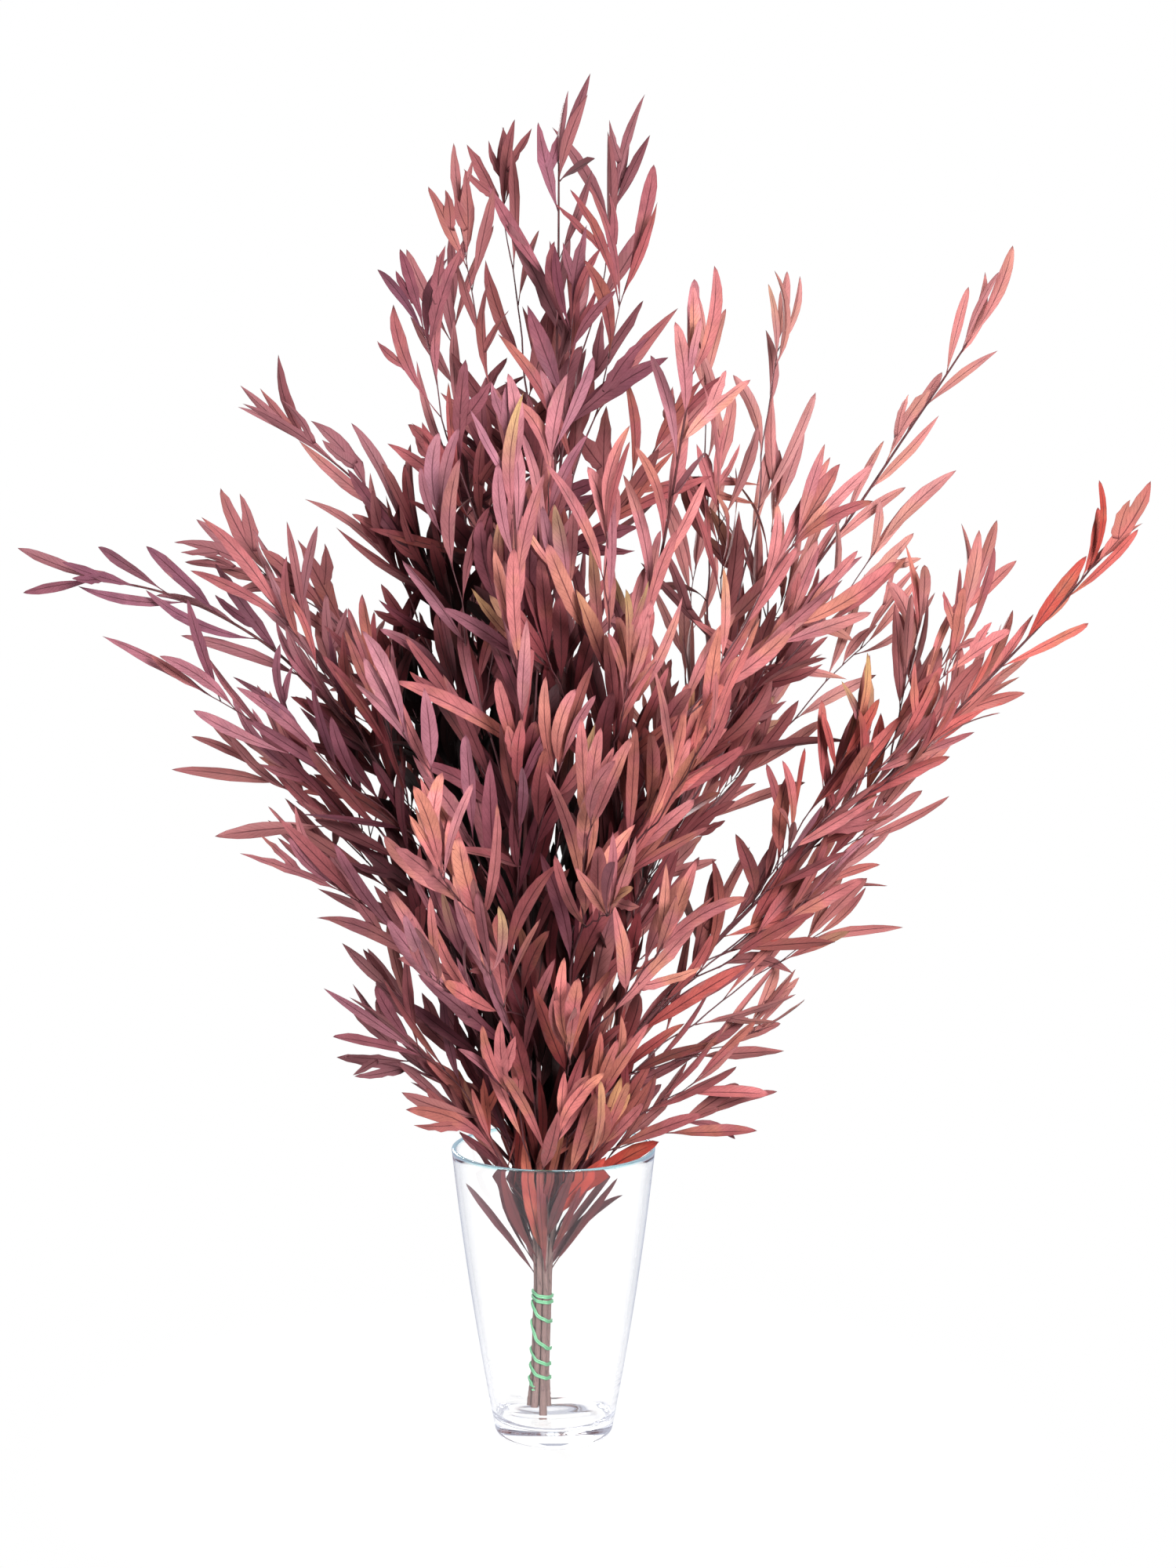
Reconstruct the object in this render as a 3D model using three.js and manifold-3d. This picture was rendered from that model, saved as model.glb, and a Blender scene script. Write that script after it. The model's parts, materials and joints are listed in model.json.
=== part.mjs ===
// A tied bunch of preserved willow-leaved eucalyptus standing in a clear conical glass vase.
// Millimetres, +Z up. The origin is the centre of the vase's flat underside.
// +X is the bunch's right-hand side and -Y is its front.
import * as THREE from "three";
import { mergeVertices } from "three/addons/utils/BufferGeometryUtils.js";
import Module from "manifold-3d";

const wasm = await Module();
wasm.setup();

const GAP = 0.3; // clearance between pieces that touch
const UP = new THREE.Vector3(0, 0, 1);
const GOLDEN_ANGLE = Math.PI * (3 - Math.sqrt(5));

const VASE = {
  height: 187,
  footRadius: 33,
  heelRadius: 38,
  heelHeight: 5,
  rimRadius: 65,
  bulge: 1.9,
  wall: 2.8,
  floor: 12,
  cornerRadius: 7,
  rimRound: 1.2,
  wallHeights: [50, 98, 145],
  segments: 36,
};

// The cut stems are packed six round one where the cord holds them, and splay a little at the cut.
const BUNDLE = {
  stemRadius: 1.85,
  cutRadius: 2.45,
  ringRadius: 4.05,
  cutRingRadius: 5.25,
  foot: new THREE.Vector3(-9, 0, VASE.floor),
  neck: new THREE.Vector3(-7, 0, 97),
  stemTipRadius: 0.6,
};

// The cord's heights where it passes the bundle's right-hand side. Turns are counted from the first of them.
const CORD = {
  radius: 0.9,
  gap: 0.45, // its straight pieces cut the corners where it goes round a stem
  rightHandHeights: [90, 86.5, 73.5, 55.5, 45.5, 36.5],
  firstTurn: -13 / 24,
  lastTurn: 5 + 17 / 24,
  stepsPerTurn: 12,
  sides: 6,
};

const STEM_MESH = { sides: 6, rows: 16, neckRow: 3 };

// A shoot this long or longer has the full foot radius, and a shorter one less.
const SHOOT = { fullLength: 330, footRadius: 1.25, tipRadius: 0.55, sides: 4, rows: 5 };

const LEAF = {
  length: 60,
  width: 9.5,
  thickness: 0.7,
  outline: [[0, 0.07], [0.42, 1], [1, 0]], // share of the length, share of the width
  openAngle: 0.62, // from its twig, in radians
  spacing: 37,
  fewest: 4,
  firstOnShoot: 0.22, // share of the twig's length
  firstOnStem: 0.72,
  lastBelowTip: 0.94,
};

// Each stem: its turn round the bundle in degrees, how far its cut sits above the vase's floor, its tip,
// and how much its end lifts (+) or droops (-).
const STEMS = {
  centre: { turn: null, rise: 6, tip: [4, 0, 803], lift: 0.2 },
  right: { turn: 0, rise: 5, tip: [338, 0, 557], lift: 0 },
  back_right: { turn: 60, rise: 4, tip: [264, 50, 697], lift: -0.3 },
  back_left: { turn: 120, rise: 5, tip: [-166, 60, 638], lift: -0.8 },
  left: { turn: 180, rise: 6, tip: [-289, -10, 547], lift: -0.85 },
  front_left: { turn: 240, rise: 5, tip: [-20, -180, 611], lift: 0.3 },
  front_right: { turn: 300, rise: GAP, tip: [80, -160, 667], lift: 0.3 },
};

// Each side shoot: the height where it leaves its stem, its tip, and how much its end lifts or droops.
const SHOOTS = {
  centre: [
    { from: 567, tip: [42, 40, 795], lift: 0 },
    { from: 527, tip: [-33, 60, 797], lift: 0.2 },
    { from: 507, tip: [46, -20, 732], lift: 0 },
    { from: 472, tip: [-56, 20, 759], lift: 0.2 },
    { from: 402, tip: [-80, -25, 707], lift: 0.3 },
  ],
  right: [
    { from: 402, tip: [280, 60, 559], lift: 0.2 },
    { from: 372, tip: [264, -30, 520], lift: -0.1 },
    { from: 312, tip: [228, -60, 456], lift: -0.3 },
    { from: 257, tip: [223, 30, 407], lift: 0 },
    { from: 202, tip: [190, 40, 337], lift: 0.2 },
    { from: 155, tip: [110, -22, 250], lift: 0 },
    { from: 119, tip: [72, 18, 203], lift: -0.6 },
  ],
  back_right: [
    { from: 437, tip: [149, 70, 715], lift: -0.25 },
    { from: 402, tip: [98, 40, 691], lift: 0.4 },
    { from: 372, tip: [214, 20, 577], lift: -0.1 },
    { from: 327, tip: [218, 90, 515], lift: -0.1 },
    { from: 292, tip: [150, 140, 467], lift: 0 },
    { from: 352, tip: [100, 205, 567], lift: 0.2 },
    { from: 232, tip: [88, 210, 409], lift: -0.1 },
    { from: 185, tip: [60, 140, 307], lift: -0.2 },
  ],
  back_left: [
    { from: 437, tip: [-67, 70, 743], lift: 0.2 },
    { from: 377, tip: [-114, 22, 587], lift: 0 },
    { from: 342, tip: [-222, 66, 563], lift: -0.55 },
    { from: 277, tip: [-144, 96, 483], lift: 0 },
    { from: 357, tip: [-50, 205, 597], lift: 0.2 },
    { from: 242, tip: [-80, 210, 431], lift: -0.1 },
    { from: 189, tip: [-36, 150, 313], lift: -0.2 },
  ],
  left: [
    { from: 357, tip: [-184, -38, 549], lift: -0.2 },
    { from: 322, tip: [-236, -44, 493], lift: -0.3 },
    { from: 272, tip: [-208, 36, 435], lift: -0.3 },
    { from: 222, tip: [-157, -48, 381], lift: -0.3 },
    { from: 179, tip: [-124, 38, 295], lift: -0.3 },
    { from: 149, tip: [-110, -30, 269], lift: -0.5 },
    { from: 119, tip: [-80, 14, 209], lift: -0.8 },
  ],
  front_left: [
    { from: 352, tip: [-70, -72, 605], lift: 0.2 },
    { from: 307, tip: [-88, -190, 481], lift: 0.1 },
    { from: 247, tip: [-66, -208, 401], lift: -0.1 },
    { from: 202, tip: [-44, -150, 337], lift: -0.2 },
    { from: 392, tip: [2, -92, 649], lift: 0.3 },
    { from: 139, tip: [-32, -78, 247], lift: -0.5 },
  ],
  front_right: [
    { from: 357, tip: [155, -100, 595], lift: 0.1 },
    { from: 397, tip: [32, -172, 597], lift: 0.3 },
    { from: 307, tip: [99, -212, 483], lift: 0 },
    { from: 252, tip: [26, -218, 437], lift: 0 },
    { from: 202, tip: [74, -148, 347], lift: -0.2 },
    { from: 137, tip: [42, -72, 247], lift: -0.5 },
  ],
};

const GLASS = new THREE.MeshStandardMaterial({
  color: 0xe8f1f0,
  roughness: 0.03,
  metalness: 0,
  transparent: true,
  opacity: 0.35,
});
const BARK = new THREE.MeshStandardMaterial({ color: 0x6b4142, roughness: 0.8, metalness: 0 });
const TWINE = new THREE.MeshStandardMaterial({ color: 0x6fce97, roughness: 0.6, metalness: 0 });
const FOLIAGE = new THREE.MeshStandardMaterial({ color: 0x9e5c5c, roughness: 0.7, metalness: 0 });

// three.js geometry to a closed solid, and back.
function solidOf(geometry) {
  const bare = geometry.clone();
  bare.deleteAttribute("normal");
  bare.deleteAttribute("uv");
  const merged = mergeVertices(bare, 1e-4);
  return new wasm.Manifold(
    new wasm.Mesh({
      numProp: 3,
      vertProperties: new Float32Array(merged.attributes.position.array),
      triVerts: new Uint32Array(merged.index.array),
    }),
  );
}

function geometryOf(solid) {
  const mesh = solid.getMesh();
  return new THREE.BufferGeometry()
    .setAttribute("position", new THREE.BufferAttribute(new Float32Array(mesh.vertProperties), 3))
    .setIndex(new THREE.BufferAttribute(new Uint32Array(mesh.triVerts), 1));
}

// Bends a shape that stands along +Y from 0 to 1 round a curve. Its +Z side faces the way `facing` points.
function bendAlong(geometry, curve, facing) {
  const position = geometry.attributes.position;
  for (let i = 0; i < position.count; i++) {
    const along = THREE.MathUtils.clamp(position.getY(i), 0, 1);
    const tangent = curve.getTangent(along);
    const side = new THREE.Vector3().crossVectors(tangent, facing).normalize();
    const normal = new THREE.Vector3().crossVectors(side, tangent);
    const point = curve
      .getPoint(along)
      .addScaledVector(side, position.getX(i))
      .addScaledVector(normal, position.getZ(i));
    position.setXYZ(i, point.x, point.y, point.z);
  }
  return geometry;
}

// A round tapered rod along a curve.
function rod(curve, footRadius, tipRadius, sides, rows) {
  const straight = new THREE.CylinderGeometry(tipRadius, footRadius, 1, sides, rows);
  straight.translate(0, 0.5, 0);
  const chord = curve.getPoint(1).sub(curve.getPoint(0));
  const facing = new THREE.Vector3(0, 1, 0).cross(chord).normalize();
  return bendAlong(straight, curve, facing);
}

// A willow leaf: a flattened three-sided needle with its keel below.
function blade(curve, facing, width) {
  const rows = LEAF.outline.length - 1;
  const needle = new THREE.CylinderGeometry(1, 1, 1, 3, rows);
  const position = needle.attributes.position;
  for (let i = 0; i < position.count; i++) {
    const [along, breadth] = LEAF.outline[Math.round((position.getY(i) + 0.5) * rows)];
    const across = (position.getX(i) * breadth * width) / 2;
    position.setXYZ(i, across, along, position.getZ(i) * breadth * LEAF.thickness);
  }
  return bendAlong(needle, curve, facing);
}

// The outer wall's radius at a height.
function vaseRadius(z) {
  const share = (z - VASE.heelHeight) / (VASE.height - VASE.heelHeight);
  const straight = VASE.heelRadius + (VASE.rimRadius - VASE.heelRadius) * share;
  return straight + 4 * VASE.bulge * share * (1 - share);
}

function vaseGeometry() {
  const rimInner = VASE.rimRadius - VASE.wall;
  const rimEdge = VASE.height - VASE.rimRound;
  const corner = VASE.cornerRadius;
  const cornerZ = VASE.floor + corner;
  const cornerR = vaseRadius(cornerZ) - VASE.wall - corner;
  const outline = new THREE.Path();
  outline.moveTo(0, 0);
  outline.lineTo(VASE.footRadius, 0);
  outline.quadraticCurveTo(VASE.heelRadius - 1, 0, VASE.heelRadius, VASE.heelHeight);
  VASE.wallHeights.forEach((z) => outline.lineTo(vaseRadius(z), z));
  outline.lineTo(vaseRadius(rimEdge), rimEdge);
  outline.quadraticCurveTo(VASE.rimRadius, VASE.height, VASE.rimRadius - VASE.wall / 2, VASE.height);
  outline.quadraticCurveTo(rimInner, VASE.height, rimInner, rimEdge);
  VASE.wallHeights.toReversed().forEach((z) => outline.lineTo(vaseRadius(z) - VASE.wall, z));
  outline.lineTo(cornerR + corner, cornerZ);
  outline.absarc(cornerR, cornerZ, corner, 0, -Math.PI / 2, true);
  outline.lineTo(0, VASE.floor);
  const lathe = new THREE.LatheGeometry(outline.getPoints(2), VASE.segments);
  return lathe.rotateX(Math.PI / 2);
}

// How far up the bundle a height is: 0 at the vase's floor, 1 at the neck.
function shareAt(height) {
  return (height - BUNDLE.foot.z) / (BUNDLE.neck.z - BUNDLE.foot.z);
}

// How much the stems splay: 1 at the cut, and 0 from a third of the way up to the neck.
function splay(share) {
  return Math.max(0, 1 - 3 * share);
}

function stemRadiusInBundle(share) {
  return THREE.MathUtils.lerp(BUNDLE.stemRadius, BUNDLE.cutRadius, splay(share));
}

// The centre of a stem in the bundle, at the cut (share 0), at the neck (share 1) or between.
function placeInBundle(stem, share) {
  const centre = BUNDLE.foot.clone().lerp(BUNDLE.neck, share);
  if (stem.turn === null) return centre;
  const ring = THREE.MathUtils.lerp(BUNDLE.ringRadius, BUNDLE.cutRingRadius, splay(share));
  const turn = THREE.MathUtils.degToRad(stem.turn);
  return centre.add(new THREE.Vector3(ring * Math.cos(turn), ring * Math.sin(turn), 0));
}

// The line of anything that grows: it sets off one way and ends at its tip, lifted or drooping.
function growthCurve(start, setOff, tip, lift) {
  const reach = tip.distanceTo(start);
  const ending = tip.clone().sub(start).normalize().addScaledVector(UP, lift).normalize();
  return new THREE.CubicBezierCurve3(
    start,
    start.clone().addScaledVector(setOff, reach * 0.34),
    tip.clone().addScaledVector(ending, -reach * 0.32),
    tip,
  );
}

// A stem runs straight from its cut to the neck, then grows out to its tip.
class StemCurve extends THREE.Curve {
  constructor(stem) {
    super();
    this.stem = stem;
    this.neckAt = STEM_MESH.neckRow / STEM_MESH.rows;
    this.upper = growthCurve(placeInBundle(stem, 1), UP, new THREE.Vector3(...stem.tip), stem.lift);
  }

  getPoint(along) {
    if (along > this.neckAt) return this.upper.getPoint((along - this.neckAt) / (1 - this.neckAt));
    const cut = BUNDLE.foot.z + this.stem.rise;
    const height = THREE.MathUtils.lerp(cut, BUNDLE.neck.z, along / this.neckAt);
    return placeInBundle(this.stem, shareAt(height)).setZ(height);
  }

  // The share along the curve at which it reaches a height.
  alongAt(height) {
    let low = 0;
    let high = 1;
    while (high - low > 1e-4) {
      const middle = (low + high) / 2;
      if (this.getPoint(middle).z < height) low = middle;
      else high = middle;
    }
    return low;
  }
}

// The rod of a stem, thicker by `extra` all round.
function stemGeometry(curve, extra) {
  const straight = new THREE.CylinderGeometry(1, 1, 1, STEM_MESH.sides, STEM_MESH.rows);
  straight.translate(0, 0.5, 0);
  const position = straight.attributes.position;
  for (let i = 0; i < position.count; i++) {
    const along = position.getY(i);
    const inBundle = stemRadiusInBundle(shareAt(curve.getPoint(along).z));
    const past = Math.max(0, (along - curve.neckAt) / (1 - curve.neckAt));
    const radius = THREE.MathUtils.lerp(inBundle, BUNDLE.stemTipRadius, past) + extra;
    position.setX(i, position.getX(i) * radius);
    position.setZ(i, position.getZ(i) * radius);
  }
  return bendAlong(straight, curve, new THREE.Vector3(0, 1, 0));
}

// The cord's height after so many turns. Each turn is level behind the bundle and slopes down across its front.
function cordHeight(turn) {
  const whole = Math.floor(turn);
  const row = THREE.MathUtils.clamp(whole, 0, CORD.rightHandHeights.length - 2);
  const [above, below] = CORD.rightHandHeights.slice(row, row + 2);
  const across = THREE.MathUtils.clamp(2 * (turn - whole) - 1, 0, 1);
  const slope = across * (2 - across);
  return THREE.MathUtils.lerp(above, below, whole - row + slope);
}

// The cord's line round the bundle. It lies on the outer stems and runs straight from one to the next.
class CordPath extends THREE.Curve {
  getPoint(along) {
    const turn = THREE.MathUtils.lerp(CORD.firstTurn, CORD.lastTurn, along);
    const height = cordHeight(turn);
    const outward = new THREE.Vector3(Math.cos(2 * Math.PI * turn), Math.sin(2 * Math.PI * turn), 0);
    const share = shareAt(height);
    const centres = Object.values(STEMS).map((stem) => placeInBundle(stem, share));
    const touched = centres.reduce((best, c) => (c.dot(outward) > best.dot(outward) ? c : best));
    const point = touched.addScaledVector(outward, stemRadiusInBundle(share) + CORD.gap + CORD.radius);
    return point.setZ(height);
  }

  getPointAt(along) {
    return this.getPoint(along);
  }

  getTangentAt(along) {
    return this.getTangent(along);
  }
}

function cordGeometry() {
  const section = new THREE.Shape().absarc(0, 0, CORD.radius, 0, 2 * Math.PI);
  return new THREE.ExtrudeGeometry(section, {
    steps: Math.round((CORD.lastTurn - CORD.firstTurn) * CORD.stepsPerTurn),
    curveSegments: CORD.sides / 2,
    extrudePath: new CordPath(),
  });
}

// The line of a side shoot, from its stem's middle to its tip.
function shootCurve(stemCurve, shoot) {
  const along = stemCurve.alongAt(shoot.from);
  const start = stemCurve.getPoint(along);
  const tip = new THREE.Vector3(...shoot.tip);
  const outward = tip.clone().sub(start).normalize();
  const setOff = stemCurve.getTangent(along).multiplyScalar(0.7).addScaledVector(outward, 0.6);
  return growthCurve(start, setOff.normalize(), tip, shoot.lift);
}

// The line of a leaf that leaves a shoot at `share` of its length, turned `turn` round it.
function leafCurve(curve, share, turn, length, open) {
  const base = curve.getPoint(share);
  const tangent = curve.getTangent(share);
  const across = new THREE.Vector3().crossVectors(tangent, UP).normalize();
  const above = new THREE.Vector3().crossVectors(across, tangent);
  const sideways = across.multiplyScalar(Math.cos(turn)).addScaledVector(above, Math.sin(turn));
  const heading = tangent.clone().multiplyScalar(Math.cos(open)).addScaledVector(sideways, Math.sin(open));
  const middle = base.clone().addScaledVector(heading, length * 0.5);
  const onward = heading.clone().addScaledVector(tangent, 0.35).addScaledVector(UP, -0.08).normalize();
  return new THREE.QuadraticBezierCurve3(base, middle, middle.clone().addScaledVector(onward, length * 0.5));
}

// The way a leaf's upper side faces: up, and to the bunch's front or back more than to its sides.
function leafFacing(curve) {
  const middle = curve.getPoint(0.5);
  const outward = middle.clone().setZ(0).normalize();
  return outward.multiplyScalar(0.6).add(new THREE.Vector3(0, middle.y > 0 ? 0.8 : -0.8, 0.4)).normalize();
}

const placed = []; // every solid so far, which later ones keep clear of

function isClear(solid, own) {
  const box = solid.boundingBox();
  return placed.every((other) => {
    if (other.name === own) return true;
    const far = [0, 1, 2].some(
      (k) => other.box.min[k] > box.max[k] + 1 || other.box.max[k] < box.min[k] - 1,
    );
    return far || solid.minGap(other.solid, 1) > GAP;
  });
}

function place(name, solid) {
  placed.push({ name, solid, box: solid.boundingBox() });
}

function largest(solid) {
  return solid.decompose().reduce((best, part) => (part.volume() > best.volume() ? part : best));
}

// Sets leaves spirally on a twig, from share `first` of its length to its tip, where nothing is in their way.
function withLeaves({ name, twig, curve, first, seed }) {
  const leafyLength = curve.getLength() * (1 - first);
  const count = Math.max(LEAF.fewest, Math.round(leafyLength / LEAF.spacing));
  let solid = twig;
  for (let k = 0; k <= count; k++) {
    const atTip = k === count;
    const share = atTip ? 0.985 : THREE.MathUtils.lerp(first, LEAF.lastBelowTip, k / (count - 1));
    const length = LEAF.length * (0.86 + 0.14 * Math.sin(k * 2.3 + seed)) * (1.1 - 0.2 * share);
    const width = LEAF.width * (0.88 + 0.12 * Math.cos(k * 1.7 + seed));
    for (let attempt = 0; attempt < 8; attempt++) {
      const turn = (k + seed) * GOLDEN_ANGLE + attempt * 0.8;
      const line = leafCurve(curve, share, turn, length, atTip ? 0.12 : LEAF.openAngle);
      const leaf = solidOf(blade(line, leafFacing(line), width));
      const joined = solid.add(leaf);
      if (!isClear(leaf, name) || joined.decompose().length > 1) continue;
      solid = joined;
      break;
    }
  }
  return solid.simplify(0.02);
}

// The bare twig of a side shoot, its foot cut to sit on the stem's bark.
function shootTwig(curve, barkClearance) {
  const vigour = THREE.MathUtils.clamp(curve.getLength() / SHOOT.fullLength, 0.55, 1);
  const whole = rod(curve, SHOOT.footRadius * vigour, SHOOT.tipRadius, SHOOT.sides, SHOOT.rows);
  return largest(solidOf(whole).subtract(barkClearance));
}

// Everything that grows: the stems first and then their shoots, still without leaves.
function bareTwigs() {
  const stems = [];
  const shoots = [];
  for (const [where, stem] of Object.entries(STEMS)) {
    const curve = new StemCurve(stem);
    const rodAlone = solidOf(stemGeometry(curve, 0));
    const barkClearance = solidOf(stemGeometry(curve, GAP));
    stems.push({ name: "stem_" + where, twig: rodAlone, curve, first: LEAF.firstOnStem });
    SHOOTS[where].forEach((shoot, index) => {
      const line = shootCurve(curve, shoot);
      const name = `shoot_${where}_${index + 1}`;
      shoots.push({ name, twig: shootTwig(line, barkClearance), curve: line, first: LEAF.firstOnShoot });
    });
  }
  return [...stems, ...shoots];
}

function named(name, geometry, material) {
  const mesh = new THREE.Mesh(geometry, material);
  mesh.name = name;
  return mesh;
}

function tiedBunch() {
  const bunch = new THREE.Group();
  const vase = vaseGeometry();
  const cord = cordGeometry();
  bunch.add(named("vase", vase, GLASS), named("tie_cord", cord, TWINE));
  place("vase", solidOf(vase));
  place("tie_cord", solidOf(cord));

  const twigs = bareTwigs();
  twigs.forEach(({ name, twig }) => place(name, twig));
  twigs.forEach((grown, index) => {
    const solid = withLeaves({ ...grown, seed: index + 1 });
    place(grown.name, solid);
    const material = grown.name.startsWith("stem") ? BARK : FOLIAGE;
    bunch.add(named(grown.name, geometryOf(solid), material));
  });
  return bunch;
}

export default tiedBunch();
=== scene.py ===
# A tied bunch of red-dyed, preserved willow-leaved eucalyptus standing in a clear conical glass vase.
# The tables give the bunch's sizes in millimetres. The meshes are made in metres, in the CAD part's frame.
import json
import math

import bpy
import numpy as np
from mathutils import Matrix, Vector

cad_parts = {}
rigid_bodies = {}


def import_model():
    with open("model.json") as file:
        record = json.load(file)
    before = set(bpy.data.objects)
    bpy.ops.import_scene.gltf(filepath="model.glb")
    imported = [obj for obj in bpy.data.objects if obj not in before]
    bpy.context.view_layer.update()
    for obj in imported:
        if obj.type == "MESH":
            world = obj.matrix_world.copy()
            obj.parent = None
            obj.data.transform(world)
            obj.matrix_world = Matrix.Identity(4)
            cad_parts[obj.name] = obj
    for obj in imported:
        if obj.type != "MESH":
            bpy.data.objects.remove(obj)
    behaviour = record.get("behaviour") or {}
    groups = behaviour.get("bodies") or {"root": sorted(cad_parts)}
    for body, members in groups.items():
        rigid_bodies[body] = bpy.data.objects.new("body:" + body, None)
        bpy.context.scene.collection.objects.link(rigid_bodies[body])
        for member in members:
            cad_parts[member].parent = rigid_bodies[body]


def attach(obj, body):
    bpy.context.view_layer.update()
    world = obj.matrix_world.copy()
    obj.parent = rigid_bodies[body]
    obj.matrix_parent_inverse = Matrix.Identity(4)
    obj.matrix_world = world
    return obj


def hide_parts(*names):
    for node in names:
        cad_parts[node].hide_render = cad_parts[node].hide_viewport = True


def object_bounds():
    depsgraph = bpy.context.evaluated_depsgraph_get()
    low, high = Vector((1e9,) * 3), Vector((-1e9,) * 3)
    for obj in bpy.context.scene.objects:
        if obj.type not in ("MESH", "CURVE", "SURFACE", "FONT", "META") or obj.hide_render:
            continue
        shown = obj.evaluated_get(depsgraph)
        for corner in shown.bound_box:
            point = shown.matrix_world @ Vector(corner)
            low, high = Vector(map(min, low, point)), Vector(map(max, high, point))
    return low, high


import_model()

CAD_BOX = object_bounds()

MM = 0.001
UP = np.array([0.0, 0.0, 1.0])
RIGHT = np.array([1.0, 0.0, 0.0])
BACK = np.array([0.0, 1.0, 0.0])
LEVEL = np.array([1.0, 1.0, 0.0])
GOLDEN_ANGLE = math.pi * (3 - math.sqrt(5))

VASE = {
    "height": 187,
    "foot_radius": 33,
    "heel_radius": 38,
    "heel_height": 5,
    "rim_radius": 65,
    "bulge": 1.9,
    "wall": 2.8,
    "floor": 12,
    "corner_radius": 7,
    "rim_round": 1.2,
    "hollow": 1.6,
}

# The cut stems are packed six round one where the cord holds them, and splay a little at the cut.
BUNDLE = {
    "stem_radius": 1.85,
    "cut_radius": 2.65,
    "ring_radius": 4.05,
    "cut_ring_radius": 6.0,
    "foot": np.array([-9.8, 0.0, 12.0]),
    "neck": np.array([-7.0, 0.0, 97.0]),
    "stem_tip_radius": 0.6,
}

# The cord's heights where it passes the bundle's right-hand side. Turns are counted from the first of them.
# The sway, in radians, brings one of its two strands and then the other further out.
CORD = {
    "gap": 0.09,
    "right_hand_heights": [90, 86.5, 73.5, 55.5, 45.5, 36.5],
    "first_turn": -13 / 24,
    "last_turn": 5 + 17 / 24,
    "strand_radius": 0.62,
    "strand_offset": 0.58,
    "sway": 0.45,
    "sway_length": 26.0,
}

# Each stem: its turn round the bundle in degrees, how far its cut sits above the vase's floor, its tip,
# and how much its end lifts (+) or droops (-).
STEMS = {
    "centre": (None, 6, (4, 0, 803), 0.2),
    "right": (0, 5, (338, 0, 557), 0),
    "back_right": (60, 4, (264, 50, 697), -0.3),
    "back_left": (120, 5, (-166, 60, 638), -0.8),
    "left": (180, 6, (-289, -10, 547), -0.85),
    "front_left": (240, 5, (-20, -180, 611), 0.3),
    "front_right": (300, 0.3, (80, -160, 667), 0.3),
}

# Each side shoot: the height where it leaves its stem, its tip, and how much its end lifts or droops.
SHOOTS = {
    "centre": [
        (567, (42, 40, 795), 0),
        (527, (-33, 60, 797), 0.2),
        (507, (46, -20, 732), 0),
        (472, (-56, 20, 759), 0.2),
        (402, (-80, -25, 707), 0.3),
    ],
    "right": [
        (402, (280, 60, 559), 0.2),
        (372, (264, -30, 520), -0.1),
        (312, (228, -60, 456), -0.3),
        (257, (223, 30, 407), 0),
        (202, (190, 40, 337), 0.2),
        (155, (110, -22, 250), 0),
        (119, (72, 18, 203), -0.6),
    ],
    "back_right": [
        (437, (149, 70, 715), -0.25),
        (402, (98, 40, 691), 0.4),
        (372, (214, 20, 577), -0.1),
        (327, (218, 90, 515), -0.1),
        (292, (150, 140, 467), 0),
        (352, (100, 205, 567), 0.2),
        (232, (88, 210, 409), -0.1),
        (185, (60, 140, 307), -0.2),
    ],
    "back_left": [
        (437, (-67, 70, 743), 0.2),
        (377, (-114, 22, 587), 0),
        (342, (-222, 66, 563), -0.55),
        (277, (-144, 96, 483), 0),
        (357, (-50, 205, 597), 0.2),
        (242, (-80, 210, 431), -0.1),
        (189, (-36, 150, 313), -0.2),
    ],
    "left": [
        (357, (-184, -38, 549), -0.2),
        (322, (-236, -44, 493), -0.3),
        (272, (-208, 36, 435), -0.3),
        (222, (-157, -48, 381), -0.3),
        (179, (-124, 38, 295), -0.3),
        (149, (-110, -30, 269), -0.5),
        (119, (-80, 14, 209), -0.8),
    ],
    "front_left": [
        (352, (-70, -72, 605), 0.2),
        (307, (-88, -190, 481), 0.1),
        (247, (-66, -208, 401), -0.1),
        (202, (-44, -150, 337), -0.2),
        (392, (2, -92, 649), 0.3),
        (139, (-32, -78, 247), -0.5),
    ],
    "front_right": [
        (357, (155, -100, 595), 0.1),
        (397, (32, -172, 597), 0.3),
        (307, (99, -212, 483), 0),
        (252, (26, -218, 437), 0),
        (202, (74, -148, 347), -0.2),
        (137, (42, -72, 247), -0.5),
    ],
}


# Camera: the photograph's viewpoint, a little above the middle of the bunch.


def set_up(name, data, place, target):
    """Puts a camera or a lamp at one place and aims it at another, both in metres."""
    holder = bpy.data.objects.new(name, data)
    holder.location = place
    look = Vector(target) - holder.location
    holder.rotation_euler = look.to_track_quat("-Z", "Y").to_euler()
    bpy.context.scene.collection.objects.link(holder)
    return holder


def photo_camera():
    lens = bpy.data.cameras.new("photo_camera")
    lens.sensor_width = 36
    lens.lens = 58.6
    bpy.context.scene.camera = set_up("photo_camera", lens, (0.022, -1.6, 0.567), (0.022, 0, 0.419))


photo_camera()


# Lines: how the stems, shoots and twigs run.


def unit(vector):
    return vector / np.linalg.norm(vector, axis=-1, keepdims=True)


def lerp(a, b, share):
    return a + (b - a) * share


def smooth_step(low, high, value):
    share = np.clip((value - low) / (high - low), 0, 1)
    return share * share * (3 - 2 * share)


def turned(vector, towards, angle):
    """A direction turned towards another that is square to it."""
    return vector * math.cos(angle) + towards * math.sin(angle)


def runs_along(points):
    """How far along a line each of its points lies."""
    return np.concatenate([[0], np.cumsum(np.linalg.norm(np.diff(points, axis=0), axis=1))])


def between_rows(value, values, rows):
    """The rows' three numbers at one value or many, read off between the values that the rows stand at."""
    return np.stack([np.interp(value, values, rows[:, k]) for k in range(3)], axis=-1)


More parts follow.
